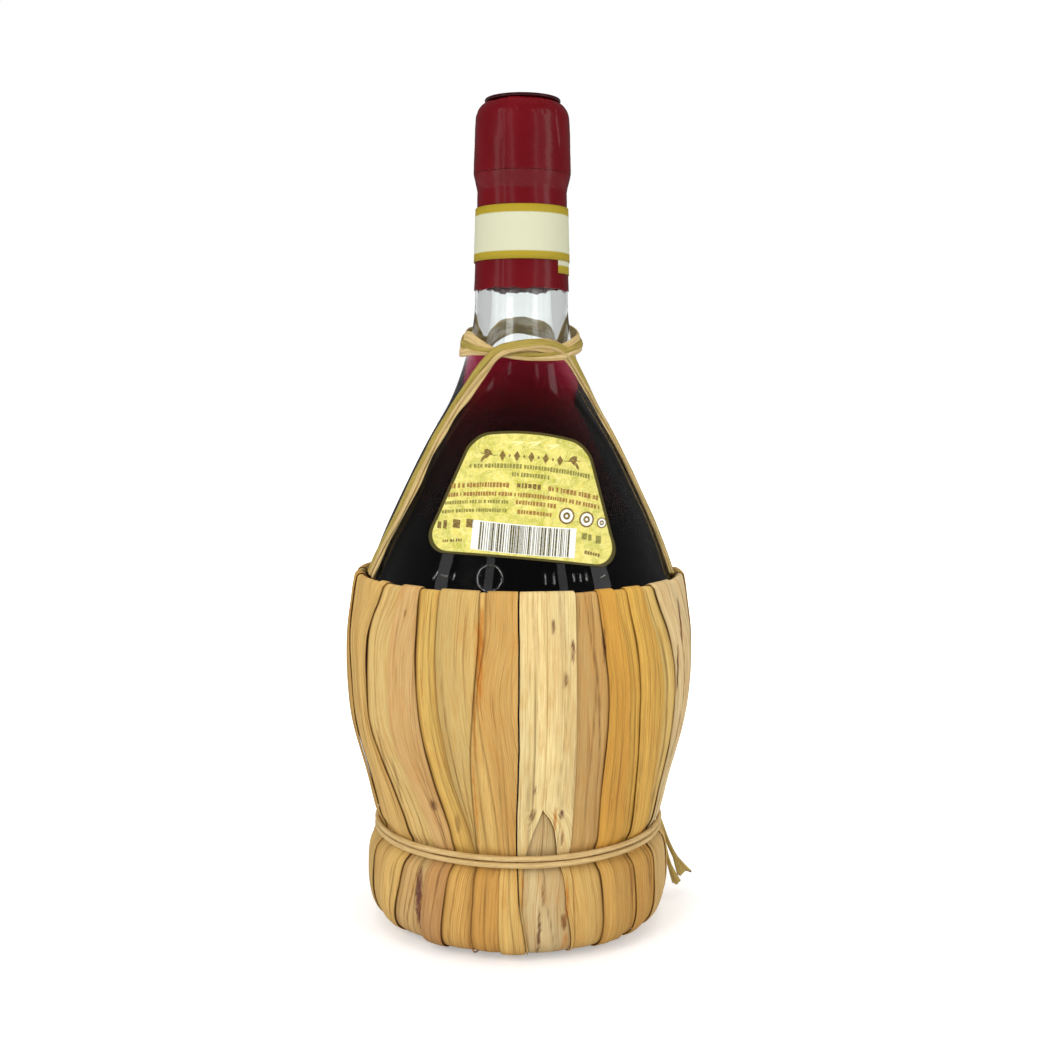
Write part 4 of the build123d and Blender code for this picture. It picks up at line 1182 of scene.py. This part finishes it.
# The widest strip is split below a tip, and shows one more strip behind it. Both are given as their edges.
splitLevels, behindLevels = (3, 12, 18, 27, 36, 41, 44.5, 47.4), (3, 18, 36, 48)
splitLeft = np.interp(rowLevel, splitLevels, (4.4, 2.4, 1.3, 1.9, 3.9, 5.7, 7.2, splitTip)) - 360
splitRight = np.interp(rowLevel, splitLevels, (20.9, 18.8, 17.3, 16.7, 14.2, 13.0, 11.2, splitTip)) - 360
behindLeft = np.interp(rowLevel, behindLevels, (1.2, 0.2, 2.6, 3.0)) - 360
behindRight = np.interp(rowLevel, behindLevels, (21.4, 19.2, 15.6, 15.0)) - 360

for number in range(1, 35):
    # strips are numbered from the front round to the left: edge n is the right edge of strip n, and every
    # other strip lies over its neighbours
    level = number % 2
    left, right = seen = edges[number + 1], edges[number]
    if level == 0:
        left, right = left - underLap, right + underLap
    if number == 1:
        right = right - seamGap
    if number == 34:
        left = np.where(rowLevel < 40, np.maximum(left, behindRight + 0.3), left)
    tones = stripTones.get(number) or (backTones[number * 4 % 9], backTones[number * 7 % 9])
    # how dark the painted shade line is at the strip's left and right edge
    edgeShades = [edgeShade.get(edge, plainShade) for edge in (number + 1, number)]
    shell = stripShell(f"huskStrip{number:02d}", left, right, level, tones, number, seen, edgeShades)
    place(shell, "flask", "husk", husk, f"husk_strip_{number:02d}")

seen = edges[36] + seamGap, edges[35]
for side, left, right in (("Left", seen[0], splitLeft), ("Right", splitRight, seen[1])):
    shell = stripShell(f"huskStrip35{side}", left, right, 1, stripTones[35], 35, seen, (0, 0))
    place(shell, "flask", "husk", husk, "husk_strip_35")
shell = stripShell("huskStripBehind", behindLeft, behindRight, 0, (behindTone, behindTone), 36,
                   (splitLeft, splitRight), (0.4, 0.8))
place(shell, "flask", "husk", husk, "husk_strip_behind")
print("leaf strips")


# Cords

def tube(path, outward, widths, thicks, sides=16, twist=None, ridges=0.0, seed=0, lay=0.35):
    # an oval section carried along a path: outward is each point's up, widths and thicks its half axes,
    # and twist turns it about the path; the ends are closed by flat caps
    along = unit(np.gradient(path, axis=0))
    side = unit(np.cross(along, outward))
    up = np.cross(side, along)
    turn = wholeTurn(sides, 2 * np.pi)[None]
    length = lengthAlong(path)[:, None]
    swell = 1 + ridges * waves(seed + 50, (length / mm, 0.09), (np.cos(turn), 4.0), (np.sin(turn), 4.0))
    x = np.cos(turn) * widths[:, None] * swell
    y = np.sin(turn) * thicks[:, None] * swell
    if twist is not None:
        spin = twist[:, None]
        x, y = x * np.cos(spin) - y * np.sin(spin), x * np.sin(spin) + y * np.cos(spin)
    points = path[:, None] + side[:, None] * x[..., None] + up[:, None] * y[..., None]
    uv = np.stack([turn * lay * 4 + seed * 3.1 + 0 * x, length / mm + 0 * x], -1)
    count = len(path)
    caps = [list(range(sides)), list(range((count - 1) * sides, count * sides))[::-1]]
    return points, gridFaces(count, sides, closedColumns=True)[:, ::-1], uv, caps


def routeLine(route, count):
    # a route's own smooth line: points read from a NURBS curve of order 3, spaced evenly along it
    curve = bpy.data.curves.new("route", "CURVE")
    curve.dimensions = "3D"
    curve.resolution_u = 24
    spline = curve.splines.new("NURBS")
    spline.points.add(len(route) - 1)
    spline.points.foreach_set("co", np.column_stack([route, np.ones(len(route))]).ravel())
    spline.order_u = 3
    spline.use_endpoint_u = True
    holder = bpy.data.objects.new("route", curve)
    scene.collection.objects.link(holder)
    bpy.context.view_layer.update()
    mesh = bpy.data.meshes.new_from_object(holder.evaluated_get(bpy.context.evaluated_depsgraph_get()))
    line = np.zeros(len(mesh.vertices) * 3)
    mesh.vertices.foreach_get("co", line)
    line = line.reshape(-1, 3)
    bpy.data.objects.remove(holder)
    bpy.data.meshes.remove(mesh)
    return evenly(line, count)


def leafCordMaterial(name, light, dark, line, across=1.0):
    # fibres along V between two tones, with darker lines in them
    material, tree = newMaterial(name)
    spot = tree.surface()
    fibre = tree.grain(spot, (2.6 * across, 0.10, 1.0), 1.0, 6.0, 0.62, 0.2)
    fine = tree.grain(spot, (9.0 * across, 0.35, 1.0), 1.0, 4.0)
    patch = tree.grain(spot, (0.5, 0.06, 1.0), 1.0, 3.0)
    base = tree.mix(tree.ramp(patch, (0.35, 0.0), (0.65, 1.0)), light, dark)
    base = tree.layer(base, fibre, (0.32, 0.70), (0.58, 0.0), line)
    base = tree.layer(base, fine, (0.32, 0.50), (0.54, 0.0), line)
    height = tree.plus(fibre, tree.times(fine, 0.4))
    tree.finish(Base_Color=base, Roughness=0.6, Specular_IOR_Level=0.3,
                Normal=tree.bump(height, 0.0004, 1.0))
    return material


neckCord = {
    "count": 520, "sides": 22, "blur": 31, "swayOut": 0.08, "fullTwist": 1.3, "ridges": 0.22, "lay": 0.5,
    # how much and how fast the sway, the width, the thickness and the twist waver along the line
    "wander": ((0.22, 0.12), (0.20, 0.16), (0.30, 0.22), (0.22, 0.07)),
    # the strap: up from the rim on the left, over the ring at the front, and down to the rim on the right
    "strap": (
        (-70.6, 48.1, 110.8), (-68.4, 46.2, 116.3), (-65.0, 42.8, 124.5), (-61.7, 38.3, 134.3),
        (-60.6, 32.6, 146.2), (-58.0, 28.2, 154.4), (-51.5, 23.6, 163.2), (-37.5, 20.9, 171.6),
        (-21.9, 20.0, 178.0), (-7.0, 19.4, 179.6), (6.3, 18.9, 180.3), (19.5, 18.7, 180.3),
        (33.0, 18.7, 179.5), (47.5, 18.8, 177.6), (60.0, 19.2, 173.6), (71.0, 21.2, 167.6),
        (77.5, 24.2, 160.8), (80.0, 30.2, 150.2), (80.5, 36.3, 138.0), (80.5, 41.8, 126.0),
        (79.5, 45.8, 116.3), (77.5, 48.0, 110.6),
    ),
    # its plies: offset across and outward in mm, half width, half thickness, pale or olive
    "strapPlies": (
        (0.15, -0.28, 1.0, 0.42, "pale"), (-0.25, 0.38, 0.60, 0.36, "olive"),
        (0.55, 0.30, 0.36, 0.34, "pale"),
    ),
    "strapAt": (0.0, 0.25, 0.34, 0.42, 0.55, 0.62, 0.70, 0.80, 1.0),
    "strapHalf": (2.7, 2.7, 2.4, 1.9, 1.9, 1.8, 1.7, 1.9, 1.9),
    # the ring: from behind the strap round the left side, the back and the right side to the front again
    "ring": (
        (-19.0, 18.4, 178.3), (-28.0, 18.5, 178.0), (-42.0, 18.4, 178.8), (-58.0, 18.2, 180.2),
        (-76.0, 18.3, 181.0), (-94.0, 18.2, 181.8), (-112.0, 17.8, 183.0), (-140.0, 16.9, 185.3),
        (-165.0, 16.4, 186.6), (-190.0, 16.3, 187.0), (-220.0, 16.6, 186.5), (-248.0, 17.4, 184.6),
        (-270.0, 18.4, 182.2), (-290.0, 19.0, 180.6), (-306.0, 18.9, 179.2), (-322.0, 18.6, 177.8),
        (-340.0, 18.3, 177.0), (-356.0, 18.3, 176.9), (-370.0, 18.4, 177.2), (-381.0, 18.4, 177.9),
    ),
    "ringPlies": (
        (-0.42, 0.10, 0.52, 0.44, "pale"), (0.40, -0.16, 0.55, 0.42, "pale"),
        (0.0, 0.42, 0.34, 0.34, "olive"),
    ),
    "ringAt": (0.0, 0.08, 0.15, 0.24, 0.32, 0.42, 0.60, 0.74, 0.82, 0.90, 1.0),
    "ringHalf": (0.8, 2.4, 4.1, 4.2, 3.4, 2.6, 2.7, 2.6, 2.5, 2.1, 1.3),
}


def glassNormal(line):
    # the glass's outward direction beside each point of a line
    height = line[:, 2] / mm
    fall = (radiusAt(height + 0.5) - radiusAt(height - 0.5))[:, None]
    out = unit(line * np.array([1, 1, 0]))
    out = out - fall * np.array([0, 0, 1.0])
    return unit(out)


def leafStrand(name, stations, plies, at, half, seed):
    # flat plies that lie beside and over each other along one line, each wavering a little
    stations = np.array(stations)
    line = routeLine(aroundAxis(stations[:, 0], stations[:, 1], stations[:, 2]), neckCord["count"])
    outward = glassNormal(line)
    along = unit(np.gradient(line, axis=0))
    side = unit(np.cross(along, outward))
    share = np.linspace(0, 1, len(line))
    length = lengthAlong(line) / mm
    blur = neckCord["blur"]
    reach = np.pad(np.interp(share, at, half), blur // 2, mode="edge")
    reach = np.convolve(reach, np.ones(blur) / blur, mode="valid")
    pieces = []
    for number, (across, out, wide, thick, tone) in enumerate(plies):
        sway, widen, thicken, spin = (amount * waves(seed + 10 * order + number, (length, pace))
                                      for order, (amount, pace) in enumerate(neckCord["wander"]))
        offset = side * ((across + sway) * reach)[:, None]
        offset = offset + outward * (out + neckCord["swayOut"] * sway)[:, None]
        width, depth = reach * wide * (1 + widen) * mm, thick * (1 + thicken) * mm
        twist = spin * np.clip(neckCord["fullTwist"] / reach, 0, 1)
        points, faces, uv, caps = tube(line + offset * mm, outward, width, depth, neckCord["sides"], twist,
                                       neckCord["ridges"], seed + number, neckCord["lay"])
        pieces.append((makePiece(f"{name}{number + 1}", points, faces, uv=uv, caps=caps), tone))
    return pieces


cordTones = {"pale": (colour(232, 206, 148), colour(222, 192, 128), colour(158, 122, 60)),
             "olive": (colour(198, 176, 92), colour(184, 162, 74), colour(122, 98, 34))}
leafCord = {tone: leafCordMaterial(f"leafCord{tone.capitalize()}", *tones)
            for tone, tones in cordTones.items()}
strands = []
for part, seed in (("strap", 60), ("ring", 90)):
    stations, plies, at, half = (neckCord[part + value] for value in ("", "Plies", "At", "Half"))
    strands += leafStrand(f"neck{part.capitalize()}", stations, plies, at, half, seed)
for piece, tone in strands:
    place(piece, "flask", "leaf_cord", leafCord[tone], "neck_cord")
print("neck cord")


# Waist string: two turns, a knot on the right and its two tails

waistString = {"height": 30.6, "diameter": 1.62, "pitch": 1.98, "turns": 2, "radius": 44.92, "count": 900,
               "knotAngle": 107.0, "knotSeat": 45.8, "knotAcross": 0.80, "knotRise": 0.62, "knotOut": 1.15,
               "knotHalf": 0.68, "knotCount": 240, "knotSides": 14, "tailCount": 120, "tailSides": 24,
               "fray": 0.9}


def waistTie():
    # a helix of two turns whose radius bulges a little, wound from the knot round to the knot
    share = np.linspace(0, 1, waistString["count"])
    angle = waistString["knotAngle"] + 360 * waistString["turns"] * share
    height = waistString["height"] + waistString["pitch"] * waistString["turns"] * (share - 0.5)
    radius = waistString["radius"] + 0.04 * waves(51, (angle, 0.04))
    line = aroundAxis(angle, radius, height + 0.10 * waves(52, (angle % 360, 0.03)))
    outward = aroundAxis(angle, np.ones_like(angle), np.zeros_like(angle)) / mm
    half = waistString["diameter"] / 2 * (1 + 0.07 * waves(53, (angle, 0.05))) * mm
    points, faces, uv, caps = tube(line, outward, half, half, 16, None, 0.06, 5, 0.3)
    return makePiece("waistTie", points, faces, uv=uv, caps=caps)


def knotFrame():
    # the knot's own directions: outward, along the string towards the right, and up
    turn = math.radians(waistString["knotAngle"] - 90)
    outward = np.array([math.cos(turn), math.sin(turn), 0])
    sideways = np.array([-math.sin(turn), math.cos(turn), 0])
    return outward, sideways, np.array([0, 0, 1.0])


def tieKnot():
    # a trefoil line, flattened against the string, as one smooth tube
    outward, sideways, upward = knotFrame()
    count, sides = waistString["knotCount"], waistString["knotSides"]
    turn = wholeTurn(count, 2 * np.pi)
    across = (np.sin(turn) + 2 * np.sin(2 * turn)) * waistString["knotAcross"]
    rise = (np.cos(turn) - 2 * np.cos(2 * turn)) * waistString["knotRise"]
    out = waistString["knotOut"] - np.sin(3 * turn) * waistString["knotRise"]
    centre = outward * waistString["knotSeat"] + upward * waistString["height"]
    line = (centre + outward * out[:, None] + sideways * across[:, None] + upward * rise[:, None]) * mm
    along = unit(np.roll(line, -1, 0) - np.roll(line, 1, 0))
    side = unit(np.cross(along, outward))
    up = np.cross(side, along)
    around = wholeTurn(sides, 2 * np.pi)[None, :, None]
    ring = side[:, None] * np.cos(around) + up[:, None] * np.sin(around)
    points = line[:, None] + waistString["knotHalf"] * mm * ring
    rise = np.linspace(0, 24, count)[:, None]
    uv = np.stack([around[..., 0] * 1.2 + 0 * rise, rise + 0 * around[..., 0]], -1)
    faces = gridFaces(count, sides, closedRows=True, closedColumns=True)[:, ::-1]
    return makePiece("tieKnot", points, faces, uv=uv)


tails = (
    # angle, distance out and distance up from the knot's seat, then half width and half thickness, for
    # each tail
    (((0.0, 0.9, -0.6), (0.0, 3.4, -5.0), (-0.1, 5.4, -11.0), (-0.3, 8.0, -17.5), (-0.7, 12.3, -24.6)),
     (0.75, 0.75, 0.85, 1.1, 2.7), (0.55, 0.5, 0.42, 0.34, 0.22)),
    (((-2.2, 0.9, -1.2), (-2.8, 3.1, -7.0), (-3.4, 4.0, -13.0), (-3.9, 5.2, -19.5), (-4.6, 8.2, -26.2)),
     (0.7, 0.7, 0.8, 0.9, 1.6), (0.5, 0.45, 0.4, 0.34, 0.24)),
)


def tieTail(name, stations, halfWidths, halfThicks, seed):
    # a flat ribbon that widens to a frayed, uneven end
    angle, out, up = np.array(stations).T
    route = aroundAxis(waistString["knotAngle"] + angle, waistString["knotSeat"] + out,
                       waistString["height"] + up)
    count, sides = waistString["tailCount"], waistString["tailSides"]
    line = routeLine(route, count)
    outward = np.broadcast_to(knotFrame()[0] + np.array([0, 0, 0.5]), line.shape)
    share = np.linspace(0, 1, count)
    width = np.interp(share, np.linspace(0, 1, len(halfWidths)), halfWidths) * mm
    thick = np.interp(share, np.linspace(0, 1, len(halfThicks)), halfThicks) * mm
    points, faces, uv, caps = tube(line, outward, width, thick, sides, 0.9 * share, 0.10, seed, 0.4)
    reach = np.clip((share - 0.8) / 0.2, 0, 1)[:, None]
    ragged = waistString["fray"] * waves(seed + 5, (wholeTurn(sides, 2 * np.pi)[None], 2.0)) * reach * mm
    return makePiece(name, points + ragged[..., None] * unit(line[-1] - line[-8]), faces, uv=uv, caps=caps)


stringTan = leafCordMaterial("waistString", colour(226, 198, 142), colour(218, 186, 124),
                             colour(176, 138, 82), 0.6)
tailPale = leafCordMaterial("stringTail", colour(228, 206, 128), colour(216, 192, 108),
                            colour(160, 124, 60))
place(waistTie(), "flask", "string", stringTan, "waist_tie")
place(tieKnot(), "flask", "string", stringTan, "tie_knot")
for number, (stations, halfWidths, halfThicks) in enumerate(tails, 1):
    tail = tieTail(f"tieTail{number}", stations, halfWidths, halfThicks, 30 + number)
    place(tail, "flask", "string", tailPale)
print("waist string")


# What the strips hide: the cord in the rim, the straw ring under the bowl and the base disc

rimRope = {"inset": 0.11, "ridge": 0.06, "ridges": 3, "lay": 40, "segments": 480, "sides": 18}
# hollow is the tone of the painted shade in the gaps between the stalks
strawTones = {"dark": colour(108, 76, 36), "mid": colour(178, 138, 78), "pale": colour(212, 176, 112),
              "hollow": colour(92, 62, 28)}


def rimCordPiece():
    # a ring with a rope's lay: three low ridges that wind round it
    turns = wholeTurn(rimRope["segments"])[:, None]
    around = wholeTurn(rimRope["sides"], 2 * np.pi)[None]
    ridge = rimRope["ridge"] * np.cos(rimRope["ridges"] * around + np.radians(turns) * rimRope["lay"])
    half = cover["cordRadius"] - rimRope["inset"] + ridge
    radius, height = rimRadius + half * np.cos(around), rimHeight + half * np.sin(around)
    points = aroundAxis(turns + 0 * half, radius, height)
    uv = np.stack([around + 0 * half, np.radians(turns) * rimRadius + 0 * half], -1)
    return makePiece("rimCord", points, gridFaces(*half.shape, closedRows=True, closedColumns=True), uv=uv)


def strawMaterial():
    # pale stalks in leaning, stretched noise, with dark hollows between them: painted shade in the gaps
    material, tree = newMaterial("packedStraw")
    spot = tree.place()
    stalks = tree.noise(tree.stretched(spot, (1.0, 1.0, 3.0), (0.3, 0.2, 0.0)), 260.0, 6.0, 0.7, 0.4)
    hollow = tree.cells(spot, (1.0, 1.0, 0.4), 420.0)
    base = tree.ramp(stalks, (0.28, strawTones["dark"]), (0.5, strawTones["mid"]),
                     (0.72, strawTones["pale"]))
    base = tree.layer(base, hollow, (0.12, 0.7), (0.4, 0.0), strawTones["hollow"])
    tree.finish(Base_Color=base, Roughness=0.8, Normal=tree.bump(stalks, 0.0005, 0.8))
    return material


place(rimCordPiece(), "flask", "leaf_cord", leafCord["olive"], "rim_cord")
straw = strawMaterial()
for node in ("foot_ring", "base_disc"):
    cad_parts[node].data.materials.clear()
    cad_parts[node].data.materials.append(straw)
print("base")


# Floor, light and camera

studio = {"cameraY": -0.4258, "cameraZ": 0.16685, "pitch": 5.5, "roll": 0.36, "focalPixels": 1360,
          "imagePixels": 1040, "worldLight": 0.62, "worldGloss": 0.09, "worldInner": 0.6,
          "sensor": 36, "nearest": 0.01, "floorWhite": (0.32, 1.0), "floorReach": (0.05, 0.22),
          "floorRings": (6.0, 1.5, 0.5, 0.15, 0.001), "floorSides": 96, "floorPlain": (0.86, 0.86, 0.86),
          "floorMirrored": (0.22, 0.22, 0.22), "innerLoss": 0.4, "mirrorLoss": 0.5, "aim": (0, 0, 0.12),
          # name, stand, width, height, power
          "lamps": (("keyBox", (-0.75, -0.95, 0.75), 0.5, 0.9, 8.6),
                    ("fillBox", (0.85, -0.8, 0.5), 0.4, 0.9, 4.2),
                    ("topBox", (0.0, 0.1, 1.2), 0.8, 0.8, 4.0)),
          # tall dim panels that show as upright streaks in glass and film: angle, width, power
          "streaks": ((-62, 0.16, 0.5), (-24, 0.10, 0.25), (34, 0.10, 0.25), (66, 0.22, 0.8)),
          "streakReach": 0.9, "streakLevel": 0.24, "streakTall": 1.1}


def floorMaterial():
    # a matt pale floor; a camera, glass or gloss ray also gets white added, more of it away from the
    # flask, so that the open floor reads as white and only the flask's own shadow shows
    material, tree = newMaterial("paleFloor")
    rays = tree.add("ShaderNodeLightPath").outputs
    through = tree.math("MAXIMUM", rays["Is Glossy Ray"], rays["Is Transmission Ray"])
    seenRay = tree.math("MAXIMUM", rays["Is Camera Ray"], through)
    mirror = tree.times(rays["Is Glossy Ray"], tree.minus(1.0, rays["Is Transmission Ray"]))
    # a mirrored floor gets less of the white
    inner = tree.times(tree.math("MINIMUM", rays["Glossy Depth"], 1.0), studio["innerLoss"])
    loss = tree.plus(inner, tree.times(mirror, studio["mirrorLoss"]))
    seenRay = tree.times(seenRay, tree.minus(1.0, loss))
    away = tree.add("ShaderNodeVectorMath", {0: tree.place()}, operation="LENGTH").outputs["Value"]
    reach, white = studio["floorReach"], studio["floorWhite"]
    added = tree.add("ShaderNodeMapRange", {"Value": away, "From Min": reach[0], "From Max": reach[1],
                                            "To Min": white[0], "To Max": white[1]}).outputs[0]
    base = tree.mix(mirror, studio["floorPlain"], studio["floorMirrored"])
    tree.finish(Base_Color=base, Roughness=0.9, Emission_Color=(1.0, 1.0, 1.0),
                Emission_Strength=tree.times(seenRay, added))
    return material


def buildFloor():
    # a flat disc whose rim is far outside the view
    rings, sides = np.array(studio["floorRings"]), studio["floorSides"]
    turn = wholeTurn(sides, 2 * np.pi)
    points = rings[:, None, None] * np.stack([np.cos(turn), np.sin(turn), 0 * turn], -1)
    faces = gridFaces(len(rings), sides, closedColumns=True)
    floor = makePiece("floor", points, faces, weld=True, smooth=False)
    floor.data.materials.append(floorMaterial())


def buildWorld():
    # white for what the camera and the glass see, a little dimmer after a reflection inside the glass,
    # dim for gloss, and a plain even light for everything else
    world = bpy.data.worlds.new("studioWorld")
    scene.world = world
    world.use_nodes = True
    nodes, links = world.node_tree.nodes, world.node_tree.links
    rays = nodes.new("ShaderNodeLightPath").outputs

    def choose(ray, otherwise, strength):
        # one strength for a kind of ray and another for the rest
        choice = nodes.new("ShaderNodeMix")
        links.new(rays[ray], choice.inputs[0])
        for socket, value in zip(choice.inputs[2:4], (otherwise, strength)):
            if isinstance(value, float):
                socket.default_value = value
            else:
                links.new(value, socket)
        return choice.outputs[0]

    plain = choose("Is Glossy Ray", studio["worldLight"], studio["worldGloss"])
    through = choose("Glossy Depth", 1.0, studio["worldInner"])
    strength = choose("Is Camera Ray", choose("Is Transmission Ray", plain, through), 1.0)
    links.new(strength, nodes["Background"].inputs["Strength"])
    nodes["Background"].inputs["Color"].default_value = (1, 1, 1, 1)


def softBox(name, stand, target, width, height, power, gloss):
    # an area lamp aimed at a point; gloss says whether it shows in reflections
    lamp = bpy.data.lights.new(name, "AREA")
    lamp.shape = "RECTANGLE"
    lamp.size, lamp.size_y = width, height
    lamp.energy = power
    holder = bpy.data.objects.new(name, lamp)
    holder.visible_glossy = gloss
    scene.collection.objects.link(holder)
    back = unit(np.array(stand, float) - np.array(target, float))
    right = unit(np.cross([0, 0, 1.0], back))
    matrix = np.eye(4)
    matrix[:3] = np.column_stack([right, np.cross(back, right), back, stand])
    holder.matrix_world = Matrix(matrix.tolist())


def buildCamera():
    # the lens is as long as the sensor's width times the focal length over the picture's width, in pixels
    lens = bpy.data.cameras.new("camera")
    lens.sensor_width = studio["sensor"]
    lens.sensor_fit = "HORIZONTAL"
    lens.lens = studio["sensor"] * studio["focalPixels"] / studio["imagePixels"]
    lens.clip_start = studio["nearest"]
    camera = bpy.data.objects.new("camera", lens)
    scene.collection.objects.link(camera)
    pitch, roll = math.radians(90 - studio["pitch"]), math.radians(studio["roll"])
    camera.matrix_world = (Matrix.Translation((0, studio["cameraY"], studio["cameraZ"]))
                           @ Matrix.Rotation(pitch, 4, "X") @ Matrix.Rotation(roll, 4, "Z"))
    scene.camera = camera


buildFloor()
buildWorld()
for name, stand, width, height, power in studio["lamps"]:
    softBox(name, stand, studio["aim"], width, height, power, False)
for number, (angle, width, power) in enumerate(studio["streaks"]):
    turn, reach = math.radians(angle), studio["streakReach"]
    stand = (reach * math.sin(turn), -reach * math.cos(turn), studio["streakLevel"])
    softBox(f"streakBox{number}", stand, studio["aim"], width, studio["streakTall"], power, True)
buildCamera()
scene.view_settings.view_transform = "Standard"
print("floor, light and camera")
